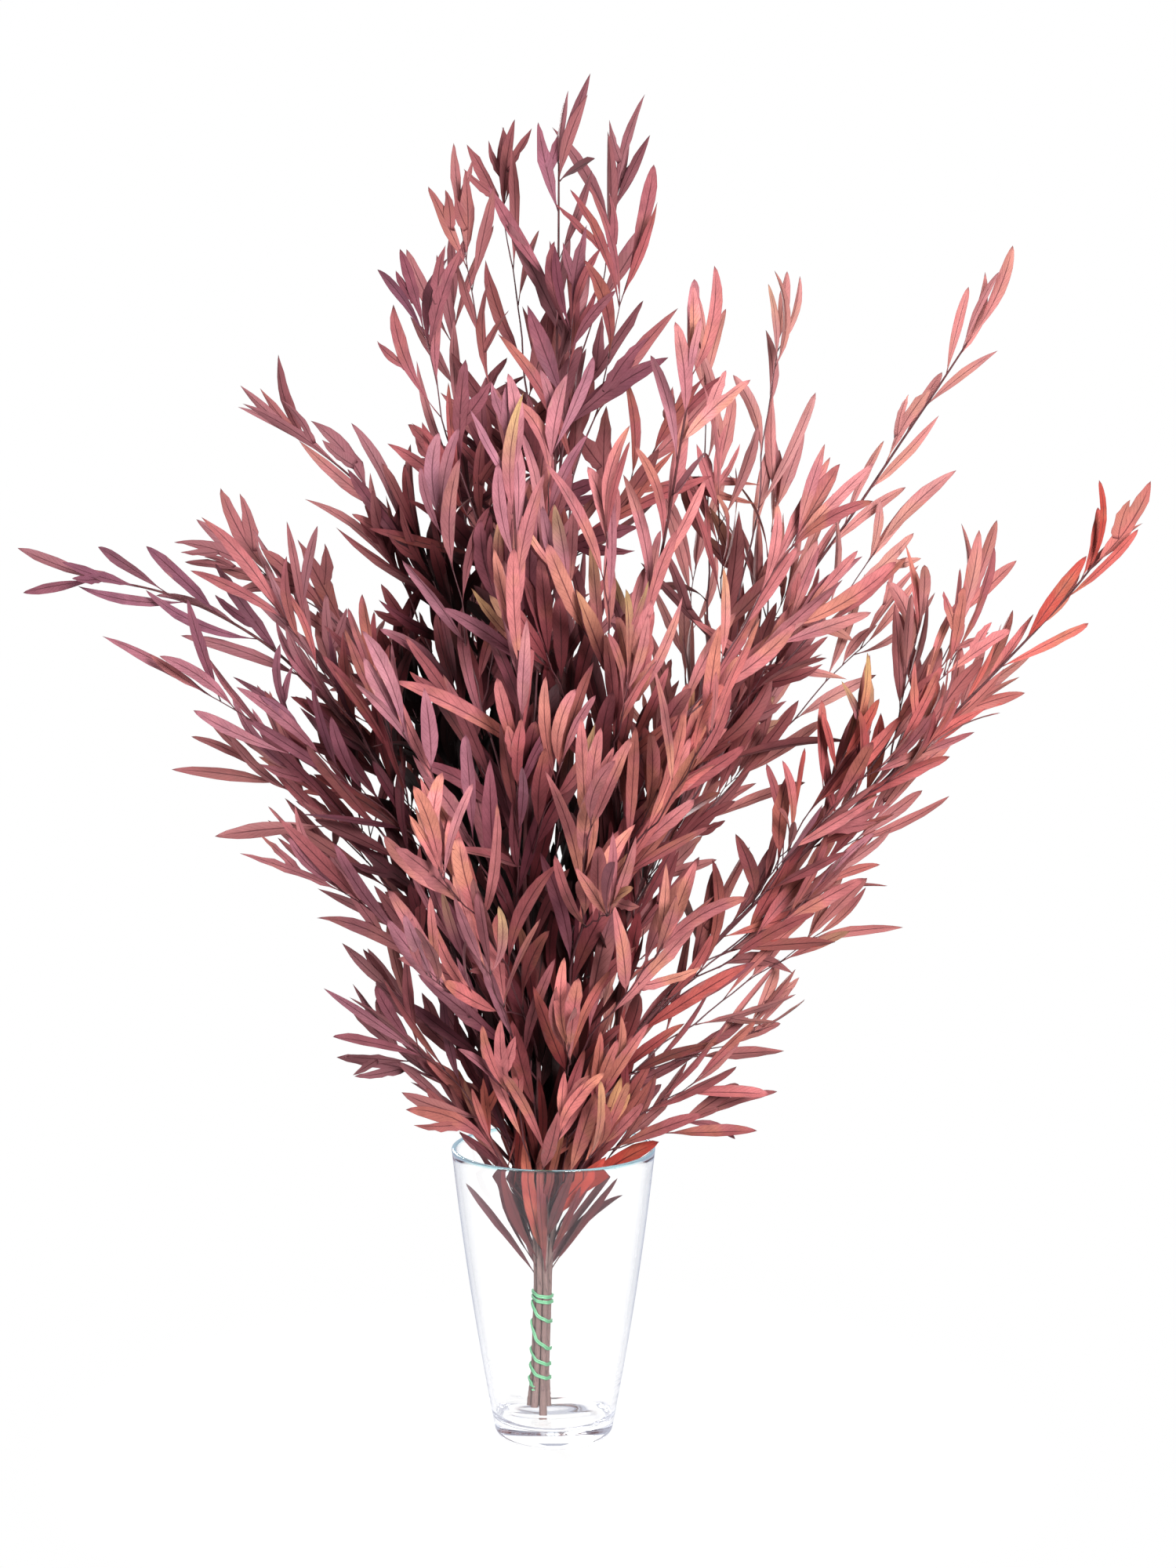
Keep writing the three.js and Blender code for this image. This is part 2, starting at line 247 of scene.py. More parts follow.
class Line:
    """A bent line through close points, measured along its length in millimetres."""

    def __init__(self, points):
        self.points = np.array(points, float)
        self.runs = runs_along(self.points)
        self.length = self.runs[-1]

    def at(self, run):
        return between_rows(run, self.runs, self.points)

    def heading(self, run):
        low = np.clip(run - 1.5, 0, self.length - 3)
        return unit(self.at(low + 3) - self.at(low))

    def run_at_height(self, height):
        above = int(np.argmax(self.points[:, 2] >= height))
        share = (height - self.points[above - 1, 2]) / (self.points[above, 2] - self.points[above - 1, 2])
        return lerp(self.runs[above - 1], self.runs[above], share)


SET_OFF_SHARE = 0.34
COME_IN_SHARE = 0.32


def growth_points(start, set_off, tip, lift, count):
    """The CAD's growth line: it sets off one way and ends at its tip, lifted or drooping."""
    start, tip = np.array(start, float), np.array(tip, float)
    reach = np.linalg.norm(tip - start)
    ending = unit(unit(tip - start) + UP * lift)
    after_start = start + set_off * reach * SET_OFF_SHARE
    before_tip = tip - ending * reach * COME_IN_SHARE
    t = np.linspace(0, 1, count)[:, None]
    s = 1 - t
    return s**3 * start + 3 * s * s * t * after_start + 3 * s * t * t * before_tip + t**3 * tip


def natural_bends(points, rng, size):
    """Small kinks like those at a real shoot's nodes. The two ends stay where they are."""
    share = np.linspace(0, 1, len(points))[:, None]
    forward = unit(points[-1] - points[0])
    across = unit(np.cross(forward, BACK + 0.1 * RIGHT))
    other = np.cross(forward, across)
    hold = np.sin(np.pi * share) ** 0.7
    bends = 0
    for waves in (1.5, 3.1, 6.3):
        phases = rng.uniform(0, 2 * np.pi, 2)
        bends = bends + across * np.sin(2 * np.pi * waves * share + phases[0]) / waves
        bends = bends + other * np.sin(2 * np.pi * waves * share + phases[1]) / waves
    return points + bends * hold * size


def sideways_of(tangent, turn):
    """The direction square to a twig at a turn round it."""
    across = unit(np.cross(tangent, UP + 0.01 * BACK))
    return turned(across, np.cross(across, tangent), turn)


BARE_TIP = 7


def growth_nodes(line, first, spacing, rng):
    """Where leaves grow on a twig: the run and the turn of each node, spirally and closer towards the tip."""
    nodes = []
    turn = rng.uniform(0, 2 * np.pi)
    run = first
    while run < line.length - BARE_TIP:
        nodes.append((run, turn))
        turn += GOLDEN_ANGLE + rng.normal(0, 0.2)
        run += spacing * lerp(1.2, 0.68, run / line.length) * rng.uniform(0.7, 1.3)
    return nodes


def kinked(line, nodes, size):
    """The same line, bent a little at each node towards the leaf there."""
    if not nodes:
        return line
    pulls = [sideways_of(line.heading(run), turn) * size for run, turn in nodes]
    runs = np.concatenate([[0], [run for run, _ in nodes], [line.length]])
    pulls = np.concatenate([np.zeros((1, 3)), pulls, np.zeros((1, 3))])
    close = np.unique(np.concatenate([line.runs, runs]))
    return Line(line.at(close) + between_rows(close, runs, pulls))


def share_at(height):
    return (height - BUNDLE["foot"][2]) / (BUNDLE["neck"][2] - BUNDLE["foot"][2])


def splay(share):
    return np.maximum(0, 1 - 3 * share)


def stem_radius_in_bundle(share):
    return lerp(BUNDLE["stem_radius"], BUNDLE["cut_radius"], splay(share))


def place_in_bundle(turn, share):
    centre = lerp(BUNDLE["foot"], BUNDLE["neck"], share)
    if turn is None:
        return centre
    ring = lerp(BUNDLE["ring_radius"], BUNDLE["cut_ring_radius"], splay(share))
    angle = math.radians(turn)
    return centre + ring * np.array([math.cos(angle), math.sin(angle), 0])


STEM_ROWS_IN_BUNDLE = 24
STEM_ROWS_ABOVE = 150
SHOOT_ROWS = 60
TWIG_ROWS = 16


def stem_line(where, rng):
    """A stem's line and its radius along it."""
    turn, rise, tip, lift = STEMS[where]
    cut = BUNDLE["foot"][2] + rise
    heights = np.linspace(cut, BUNDLE["neck"][2], STEM_ROWS_IN_BUNDLE, endpoint=False)
    straight = [place_in_bundle(turn, share_at(z)) * LEVEL + UP * z for z in heights]
    upper = growth_points(place_in_bundle(turn, 1), UP, tip, lift, STEM_ROWS_ABOVE)
    upper = natural_bends(upper, rng, 2.5)
    tapering = np.linspace(BUNDLE["stem_radius"], BUNDLE["stem_tip_radius"], STEM_ROWS_ABOVE)
    radii = np.concatenate([stem_radius_in_bundle(share_at(heights)), tapering])
    return Line(np.concatenate([straight, upper])), radii


def shoot_line(stem, shoot, rng):
    height, tip, lift = shoot
    run = stem.run_at_height(height)
    start = stem.at(run)
    outward = unit(np.array(tip) - start)
    set_off = unit(stem.heading(run) * 0.7 + outward * 0.6)
    points = growth_points(start, set_off, tip, lift, SHOOT_ROWS)
    return Line(natural_bends(points, rng, 2.2))


def side_twig_line(parent, run, turn, length, rng):
    start = parent.at(run)
    tangent = parent.heading(run)
    set_off = turned(tangent, sideways_of(tangent, turn), rng.uniform(0.42, 0.72))
    tip = start + unit(set_off + tangent * 0.35) * length
    points = growth_points(start, set_off, tip, rng.uniform(-0.1, 0.3), TWIG_ROWS)
    return Line(natural_bends(points, rng, 1.2))


# Mesh parts: points and faces gathered for one piece, with what each point carries for its material.

MARKS = ("along", "across", "warmth", "tone", "yellowing", "cut_end")
SHELTER = "shelter"


class Parts:
    def __init__(self):
        self.points, self.faces, self.finishes = [], [], []
        self.marks = {name: [] for name in MARKS}
        self.grain, self.under, self.margins = [], [], []
        self.count = 0

    def add(self, points, faces, finish, grain=None, under=None, margins=(), **marks):
        self.points.append(points)
        self.faces += [tuple(i + self.count for i in face) for face in faces]
        self.finishes += [finish] * len(faces)
        for name in MARKS:
            self.marks[name].append(np.broadcast_to(marks.get(name, 0.0), len(points)))
        self.grain.append(points if grain is None else grain)
        self.under += [0.0] * len(faces) if under is None else list(under)
        self.margins += [(a + self.count, b + self.count) for a, b in margins]
        self.count += len(points)

    def make(self, name, materials):
        mesh = bpy.data.meshes.new(name)
        mesh.from_pydata(np.concatenate(self.points) * MM, [], self.faces)
        mesh.polygons.foreach_set("material_index", self.finishes)
        mesh.polygons.foreach_set("use_smooth", [True] * len(self.faces))
        for mark, values in self.marks.items():
            attribute = mesh.attributes.new(mark, "FLOAT", "POINT")
            attribute.data.foreach_set("value", np.concatenate(values).astype(np.float32))
        grain = mesh.attributes.new("grain", "FLOAT_VECTOR", "POINT")
        grain.data.foreach_set("vector", np.concatenate(self.grain).astype(np.float32).ravel())
        under = mesh.attributes.new("underside", "FLOAT", "FACE")
        under.data.foreach_set("value", self.under)
        self.sharpen_margins(mesh)
        for material in materials:
            mesh.materials.append(material)
        mesh.validate()
        piece = bpy.data.objects.new(name, mesh)
        bpy.context.scene.collection.objects.link(piece)
        return piece

    def sharpen_margins(self, mesh):
        ends = np.zeros(len(mesh.edges) * 2, np.int64)
        mesh.edges.foreach_get("vertices", ends)
        ends = np.sort(ends.reshape(-1, 2), axis=1)
        wanted = np.sort(np.array(self.margins, np.int64).reshape(-1, 2), axis=1)
        keys, wanted = ends @ (self.count, 1), wanted @ (self.count, 1)
        sharp = mesh.attributes.new("sharp_edge", "BOOLEAN", "EDGE")
        sharp.data.foreach_set("value", np.isin(keys, wanted))


# Bark: rods for stems, shoots and twigs.


def across_frames(points):
    """Two cross directions at each point of a line, without twist."""
    tangents = unit(np.gradient(points, axis=0))
    across = np.cross(tangents[0], BACK + 0.2 * RIGHT)
    sides = []
    for tangent in tangents:
        across = unit(across - tangent * np.dot(across, tangent))
        sides.append(across)
    sides = np.array(sides)
    return sides, np.cross(tangents, sides)


def tube_faces(rows, sides):
    """The faces between rings of points that follow one another."""
    faces = []
    for row in range(rows - 1):
        for k in range(sides):
            a, b = row * sides + k, row * sides + (k + 1) % sides
            faces.append((a, b, b + sides, a + sides))
    return faces


CUT_CORE = 0.86


def add_rod(parts, points, radii, sides, finish, ribs=0.0, cut=False):
    """A closed round rod. `ribs` makes its sides a little angular, and `cut` gives it a flat sawn foot."""
    side, other = across_frames(points)
    turns = np.arange(sides) * 2 * np.pi / sides
    shape = 1 + ribs * (np.cos(3 * turns + radii[0] * 9) + 0.6 * np.cos(5 * turns + 1))
    around = side[:, None] * np.cos(turns)[:, None] + other[:, None] * np.sin(turns)[:, None]
    rings = points[:, None] + around * (radii[:, None] * shape)[:, :, None]
    rows = len(points)
    grain = np.empty((rows, sides, 3))
    grain[..., 0] = np.cos(turns) * radii[:, None]
    grain[..., 1] = np.sin(turns) * radii[:, None]
    grain[..., 2] = runs_along(points)[:, None]
    verts, grains = rings.reshape(-1, 3), grain.reshape(-1, 3)
    faces = tube_faces(rows, sides)
    last = (rows - 1) * sides
    faces.append(tuple(range(last, last + sides)))
    cut_end = np.zeros(len(verts))
    margins = []
    if cut:
        core = points[0] + (rings[0] - points[0]) * CUT_CORE
        verts = np.concatenate([verts, core])
        grains = np.concatenate([grains, grain[0]])
        start = rows * sides
        for k in range(sides):
            after = (k + 1) % sides
            faces.append((start + k, start + after, after, k))
            margins.append((k, after))
        faces.append(tuple(range(start + sides - 1, start - 1, -1)))
        cut_end = np.concatenate([cut_end, np.ones(sides)])
    else:
        faces.append(tuple(range(sides - 1, -1, -1)))
    parts.add(verts, faces, finish, grain=grains, margins=margins, cut_end=cut_end)


SWELLING_LENGTH = 1.6


def with_nodes(runs, radii, spacing, swell, rng):
    """Radii with a small swelling at each node along the rod."""
    node = spacing * rng.uniform(0.4, 1)
    while node < runs[-1]:
        radii = radii * (1 + swell * np.exp(-(((runs - node) / SWELLING_LENGTH) ** 2)))
        node += spacing * rng.uniform(0.7, 1.3)
    return radii


# Leaves: long willow leaves, each a thin closed blade with a short stalk.

# Where a leaf's rings lie, as shares of its length.
LEAF_ROWS = np.array([0, 0.08, 0.15, 0.23, 0.33, 0.45, 0.57, 0.69, 0.8, 0.89, 0.955])
# A ring's points, over the blade and back under it: how far across each lies, in half widths, and how far off
# the blade's surface, in thicknesses.
LEAF_ACROSS = np.array([-1, -0.5, 0, 0.5, 1, -0.5, 0, 0.5])
LEAF_DEPTH = np.array([-0.3, 0, -0.35, 0, -0.3, -1, -1.5, -1])
LEAF_RING = len(LEAF_ACROSS)
STALK_HALF_WIDTH = 0.38
BLADE_THICKNESS = 0.3
STALK_THICKNESS = 0.7
LOBE_FOOT_THICKNESS = 0.1


def leaf_faces():
    """Faces, which of them are on the underside, and the sharp margins. They are the same for every leaf."""
    faces, margins = [], []
    rows, ring = len(LEAF_ROWS), LEAF_RING
    over, below = [0, 1, 2, 3, 4], [0, 5, 6, 7, 4]
    for row in range(rows - 1):
        a, b = row * ring, (row + 1) * ring
        for k in range(4):
            faces.append((a + over[k], a + over[k + 1], b + over[k + 1], b + over[k]))
            faces.append((b + below[k], b + below[k + 1], a + below[k + 1], a + below[k]))
        margins += [(a, b), (a + 4, b + 4)]
    a, tip = (rows - 1) * ring, rows * ring
    for k in range(4):
        faces.append((a + over[k], a + over[k + 1], tip))
        faces.append((a + below[k + 1], a + below[k], tip))
    margins += [(a, tip), (a + 4, tip)]
    under = [0.0, 1.0] * (len(faces) // 2) + [1.0]
    faces.append((0, 5, 6, 7, 4, 3, 2, 1))
    return faces, under, margins


LEAF_FACES, LEAF_UNDER, LEAF_MARGINS = leaf_faces()


def leaf_outline(along, leaf):
    """The blade's half width, as a share of the most, at each share of its length."""
    blade = np.clip((along - leaf["stalk"]) / (1 - leaf["stalk"]), 0, 1)
    rising, falling = leaf["taper"] * leaf["widest"], leaf["taper"] * (1 - leaf["widest"])
    peak = leaf["widest"] ** rising * (1 - leaf["widest"]) ** falling
    return blade**rising * (1 - blade) ** falling / peak


def leaf_points(base, heading, facing, leaf):
    """The points of one leaf, ring by ring from the stalk, with the tip last."""
    along = np.append(LEAF_ROWS, 1.0)
    middle = (along[1:] + along[:-1]) / 2
    side = unit(np.cross(heading, facing))
    bend = leaf["arch"] * middle**1.2
    swing = leaf["swing"] * (middle - 0.25)
    steps = (
        heading * (np.cos(bend) * np.cos(swing))[:, None]
        + side * np.sin(swing)[:, None]
        - facing * (np.sin(bend) * np.cos(swing))[:, None]
    )
    steps *= (np.diff(along) * leaf["length"])[:, None]
    spine = base + np.concatenate([[np.zeros(3)], np.cumsum(steps, axis=0)])
    tangents = unit(np.gradient(spine, axis=0))
    sides = unit(np.cross(tangents, facing))
    normals = np.cross(sides, tangents)
    twist = (leaf["twist"] * along)[:, None]
    cos, sin = np.cos(twist), np.sin(twist)
    sides, normals = sides * cos + normals * sin, normals * cos - sides * sin
    stalk = STALK_HALF_WIDTH * np.clip(1.3 - along * 4, 0.0, 1)
    half = np.maximum(leaf_outline(along, leaf) * leaf["half_width"], stalk)
    thick = lerp(BLADE_THICKNESS, leaf["foot_thickness"], np.clip(1 - along * 7, 0, 1))
    out = LEAF_ACROSS
    uneven = np.where(out < 0, leaf["edges"][:, :1], leaf["edges"][:, 1:])
    flat = out * uneven * math.cos(leaf["fold"])
    lift = np.abs(out) * math.sin(leaf["fold"])
    ripple = np.sin(2 * np.pi * leaf["waves"] * along[:, None] + leaf["phase"] + out * 0.9)
    rise = half[:, None] * (lift + leaf["ripple"] * out**2 * ripple) + LEAF_DEPTH * thick[:, None]
    rings = spine[:, None] + sides[:, None] * (half[:, None] * flat)[:, :, None]
    rings = rings + normals[:, None] * rise[:, :, None]
    return np.concatenate([rings[:-1].reshape(-1, 3), spine[-1:]])


def side_lobe(points, leaf, rng):
    """The second, shorter blade of a forked leaf, which leaves the first blade's midrib."""
    ring = LEAF_RING * int(rng.integers(4, 6))
    base, ahead = points[ring + 2], points[ring + LEAF_RING + 2]
    heading, side = unit(ahead - base), unit(points[ring + 4] - points[ring])
    facing = np.cross(side, heading)
    way = 1 if rng.random() < 0.5 else -1
    angle = rng.uniform(0.4, 0.62)
    lobe = dict(
        leaf,
        length=leaf["length"] * rng.uniform(0.42, 0.56),
        half_width=leaf["half_width"] * rng.uniform(0.7, 0.95),
        stalk=-0.25,
        foot_thickness=LOBE_FOOT_THICKNESS,
        widest=0.45,
        swing=-way * 0.3,
        twist=rng.normal(0, 0.12),
        ripple=0,
    )
    heading = turned(heading, side * way, angle)
    return leaf_points(base - facing * 0.06, heading, facing, lobe)


LEAF_ALONG = np.append(np.repeat(LEAF_ROWS, LEAF_RING), 1.0)
LEAF_ACROSS_MARK = np.append(np.tile(LEAF_ACROSS, len(LEAF_ROWS)), 0.0)
MIDRIB = [LEAF_RING * row + 2 for row in range(3, len(LEAF_ROWS))]


# Room: what a new leaf keeps clear of.


def vase_radius(z):
    share = (z - VASE["heel_height"]) / (VASE["height"] - VASE["heel_height"])
    straight = lerp(VASE["heel_radius"], VASE["rim_radius"], share)
    return straight + 4 * VASE["bulge"] * share * (1 - share)


GLASS_CLEARANCE = 1.2
FLOOR_CLEARANCE = 2.0
PAST_CAD_BOX = 12
BOX_LOW = np.array(CAD_BOX[0]) / MM - PAST_CAD_BOX
BOX_HIGH = np.array(CAD_BOX[1]) / MM + PAST_CAD_BOX


def has_room(points):
    """Whether points keep off the vase's floor and wall, to one side of the wall, and near the CAD box."""
    radius = np.linalg.norm(points[:, :2], axis=1)
    z = points[:, 2]
    outer = vase_radius(np.clip(z, 0, VASE["height"]))
    below_rim = z < VASE["height"] + GLASS_CLEARANCE
    inside = (radius < outer - VASE["wall"] - GLASS_CLEARANCE) & below_rim
    outside = (radius > outer + GLASS_CLEARANCE) & below_rim
    in_wall = below_rim & ~inside & ~outside
    too_low = z < VASE["floor"] + FLOOR_CLEARANCE
    if np.any(in_wall | too_low) or (np.any(inside) and np.any(outside)):
        return False
    return not (np.any(points < BOX_LOW) or np.any(points > BOX_HIGH))


AROUND = [(a - 1, b - 1, c - 1) for a, b, c in np.ndindex(3, 3, 3)]


class Crowd:
    """Points on the leaves placed so far, kept in small cells, so that leaves don't lie in one another."""

    cell = 6.0

    def __init__(self):
        self.cells = {}

    def near(self, points, limit):
        hits = 0
        for p in points:
            x, y, z = tuple((p // self.cell).astype(int))
            for dx, dy, dz in AROUND:
                for q in self.cells.get((x + dx, y + dy, z + dz), ()):
                    if (p[0] - q[0]) ** 2 + (p[1] - q[1]) ** 2 + (p[2] - q[2]) ** 2 < limit**2:
                        hits += 1
        return hits

    def add(self, points):
        for p in points:
            self.cells.setdefault(tuple((p // self.cell).astype(int)), []).append(tuple(p))


crowd = Crowd()


class Shelter:
    """How sheltered a place is by the leaves round it: 0 in the open, 1 where no light comes through."""

    cell = 16.0
    reach = 9
    loss = 0.16

    def __init__(self, points):
        self.start = points.min(axis=0) - (self.reach + 1) * self.cell
        size = np.ceil((points.max(axis=0) - self.start) / self.cell).astype(int) + self.reach + 2
        leaves = np.zeros(size)
        np.add.at(leaves, tuple(((points - self.start) / self.cell).astype(int).T), 1)
        for axis in range(3):
            leaves = leaves / 2 + (np.roll(leaves, 1, axis) + np.roll(leaves, -1, axis)) / 4
        ways = [np.array(way) for way in AROUND if way != (0, 0, 0)]
        light = 0
        for way in ways:
            steps = [tuple(-way * step) for step in range(1, self.reach + 1)]
            crossed = sum(np.roll(leaves, step, (0, 1, 2)) for step in steps)
            light = light + np.exp(-crossed * np.linalg.norm(way) * self.loss)
        self.shade = 1 - light / len(ways)

    def at(self, points):
        place = (points - self.start) / self.cell - 0.5
        low = np.clip(place.astype(int), 0, np.array(self.shade.shape) - 2)
        share = np.clip(place - low, 0, 1)
        total = 0
        for corner in np.ndindex(2, 2, 2):
            weight = np.prod(np.where(corner, share, 1 - share), axis=1)
            total = total + weight * self.shade[tuple((low + corner).T)]
        return total


# Foliage: how leaves sit on a twig.

# How strongly a leaf faces outwards, to the front or the back, and up, and how much that varies.
FACE_OUT, FACE_FRONT, FACE_UP, FACE_NOISE = 0.5, 0.85, 0.3, 0.34


def leaf_facing(point, heading, rng):
    """A leaf's upper side faces outwards and to the front or the back, and a little up."""
    outward = unit(point * LEVEL + 1e-6)
    front_or_back = -1 if point[1] + rng.normal(0, 12) < 0 else 1
    facing = outward * FACE_OUT + BACK * front_or_back * FACE_FRONT + UP * FACE_UP
    facing = facing + rng.normal(0, FACE_NOISE, 3)
    return unit(facing - heading * np.dot(facing, heading))


# Where each region of leaves begins and where it is full, in millimetres to the right, to the back or up.
SIDE, LOW_AT_SIDE = (35, 80), (330, 230)
FRONT, LOW_AT_FRONT = (10, -40), (340, 220)
LEFT, LOW_AT_LEFT = (-20, -70), (420, 300)
IN_VASE = (200, 160)
WARMER_TO_RIGHT, COOLER_UPWARDS, MIDDLE_HEIGHT = 0.0006, 0.0004, 420


def low_side(point):
    """1 for the lowest leaves at either side of the bunch, which are browner and darker, and 0 elsewhere."""
    return float(smooth_step(*SIDE, abs(point[0])) * smooth_step(*LOW_AT_SIDE, point[2]))


def region_warmth(point):
    """Dusty mauve brown to the upper left and in the vase, and coral to the right and low at the front."""
    low_front = float(smooth_step(*LOW_AT_FRONT, point[2]) * smooth_step(*FRONT, point[1]))
    low_left = float(smooth_step(*LEFT, point[0]) * smooth_step(*LOW_AT_LEFT, point[2]))
    in_vase = float(smooth_step(*IN_VASE, point[2]))
    brown = 0.3 * in_vase + 0.2 * low_left + 0.2 * low_side(point)
    shift = WARMER_TO_RIGHT * point[0] - COOLER_UPWARDS * (point[2] - MIDDLE_HEIGHT)
    return shift + 0.2 * low_front - brown


def uneven_edges(ragged, rng):
    """How far out each edge stands at each row, as a share: one side a bit wider, and both ragged."""
    lean = np.clip(rng.normal(0, 0.14), -0.3, 0.3)
    edges = np.array([1 + lean, 1 - lean]) + rng.normal(0, ragged, (len(LEAF_ROWS) + 1, 2))
    return np.clip(edges, 0.45, 1.5)


def one_leaf(rng, size, look):
    forked = rng.random() < look["forked"]
    return {
        "length": look["length"] * size * rng.uniform(0.76, 1.16),
        "half_width": look["width"] / 2 * size**0.8 * rng.uniform(0.72, 1.2),
        "widest": rng.uniform(0.44, 0.63),
        "taper": rng.uniform(1.1, 1.75) + 1.5 * look["forked"],
        "stalk": rng.uniform(0.06, 0.12),
        "foot_thickness": STALK_THICKNESS,
        "arch": rng.normal(0.28, 0.3),
        "swing": rng.normal(0, 0.34),
        "twist": rng.normal(0, 0.12 if forked else 0.38),
        "fold": rng.uniform(0.02, 0.1) if forked else rng.uniform(0.04, 0.34),
        "ripple": rng.uniform(0.0, 0.13),
        "waves": rng.uniform(1.2, 2.6),
        "phase": rng.uniform(0, 2 * np.pi),
        "edges": uneven_edges(0.13 if forked else 0.05, rng),
        "forked": forked,
        "tone": look["tone"] * float(np.clip(rng.normal(0.97, 0.11), 0.6, 1.1)),
        "warmth": look["warmth"] + rng.normal(0, 0.1),
        "yellowing": rng.uniform(0.35, 0.9) if rng.random() < look["yellow"] else 0.0,
    }


LEAF_FINISH = 0
BARK_FINISH = 1
RISE = 0.7
ATTEMPTS = 7
TURN_BETWEEN_ATTEMPTS = 0.9
CLOSE = 3.0
MOST_CLOSE_POINTS = 3
DARKER_LOW = 0.16


def add_leaf(parts, points, leaf):
    crowd.add(points[MIDRIB])
    middle = points[MIDRIB[3]]
    parts.add(
        points,
        LEAF_FACES,
        LEAF_FINISH,
        under=LEAF_UNDER,
        margins=LEAF_MARGINS,
        along=LEAF_ALONG,
        across=LEAF_ACROSS_MARK,
        warmth=leaf["warmth"] + region_warmth(middle),
        tone=leaf["tone"] * (1 - DARKER_LOW * low_side(middle)),
        yellowing=leaf["yellowing"],
    )


def place_leaf(parts, line, run, turn, opening, size, look, rng):
    """Turns a new leaf round its twig until it has room, or takes the way that crowds others least."""
    leaf = one_leaf(rng, size, look)
    tangent = line.heading(run)
    base = line.at(run)
    best, fewest = None, MOST_CLOSE_POINTS + 1
    for attempt in range(ATTEMPTS):
        sideways = sideways_of(tangent, turn + attempt * TURN_BETWEEN_ATTEMPTS)
        heading = unit(turned(tangent, sideways, opening) + UP * RISE * abs(tangent[1]))
        facing = leaf_facing(base + heading * leaf["length"] / 2, heading, rng)
        points = leaf_points(base, heading, facing, leaf)
        if not has_room(points):
            continue
        hits = crowd.near(points[MIDRIB], CLOSE)
        if hits < fewest:
            best, fewest = points, hits
        if hits == 0:
            break
    if best is None:
        return
    add_leaf(parts, best, leaf)
    if leaf["forked"]:
        lobe = side_lobe(best, leaf, rng)
        if has_room(lobe):
            add_leaf(parts, lobe, leaf)


def darkened_towards_foot(look, share):
    """The same look for leaves further down, darker nearer the foot, which lies inside the bunch: painted
    shade.
    """
    return dict(look, tone=look["tone"] * lerp(0.78, 1.04, float(smooth_step(0.0, 0.6, share))))


STRAY_SHARE = 0.06
# The three leaves at a twig's tip: how far each opens, and how far before the tip it grows.
TIP_LEAVES = ((0.08, 0.5), (0.3, 5), (0.42, 11))


def leafy(parts, line, nodes, size, look, rng):
    """A leaf at each node, opening less and getting smaller towards the tip, and three at the tip itself."""
    for run, turn in nodes:
        share = run / line.length
        opening = look["open"] * lerp(0.55, 0.3, share) * rng.uniform(0.5, 1.4)
        if rng.random() < STRAY_SHARE:
            opening += rng.uniform(0.4, 1.0)
        place_leaf(parts, line, run, turn, opening, size * lerp(1.05, 0.8, share**2), darkened_towards_foot(look, share), rng)
    turn = rng.uniform(0, 2 * np.pi)
    for k, (opening, before_tip) in enumerate(TIP_LEAVES):
        opening *= rng.uniform(0.5, 1.5)
        run = line.length - before_tip
        place_leaf(parts, line, run, turn + k * 2.1, opening, size * rng.uniform(0.6, 0.92), look, rng)


def add_twig(parts, line, nodes, foot, tip, rng, sides):
    """A twig's bark, with a ring of points at each node and others between."""
    even = np.linspace(0, line.length, max(8, int(line.length / 9)))
    runs = np.unique(np.concatenate([even, [run for run, _ in nodes]]))
    runs = runs[np.concatenate([[True], np.diff(runs) > 0.8])]
    radii = np.interp(runs, [0, line.length], [foot, tip])
    add_rod(parts, line.at(runs), with_nodes(runs, radii, 14, 0.2, rng), sides, BARK_FINISH)


TWIG_TRIES = 5
TWIG_LEAF_SPACING = 15


def side_twigs(parts, line, first, last, spacing, look, rng):
    run = first
    turn = rng.uniform(0, 2 * np.pi)
    while run < last:
        length = np.clip(0.42 * (line.length - run) + 30, 42, 105) * rng.uniform(0.8, 1.15)
        for attempt in range(TWIG_TRIES):
            twig = side_twig_line(line, run, turn + attempt * 1.3, length, rng)
            if has_room(twig.points[3:]):
                nodes = growth_nodes(twig, 13, TWIG_LEAF_SPACING, rng)
                twig = kinked(twig, nodes, 1.0)
                add_twig(parts, twig, nodes, 0.4 + length * 0.002, 0.28, rng, 5)
                leafy(parts, twig, nodes, 0.94, darkened_towards_foot(look, 0.3 + run / line.length), rng)
                break
        turn += GOLDEN_ANGLE + rng.normal(0, 0.3)
        run += spacing * rng.uniform(0.75, 1.25)


# Materials.


def linear(red, green, blue):
    """A colour given as a screen shows it, from 0 to 255, as Blender's linear colour."""
    return tuple(
        value / 12.92 if value <= 0.04045 else ((value + 0.055) / 1.055) ** 2.4
        for value in (red / 255, green / 255, blue / 255)
    ) + (1.0,)


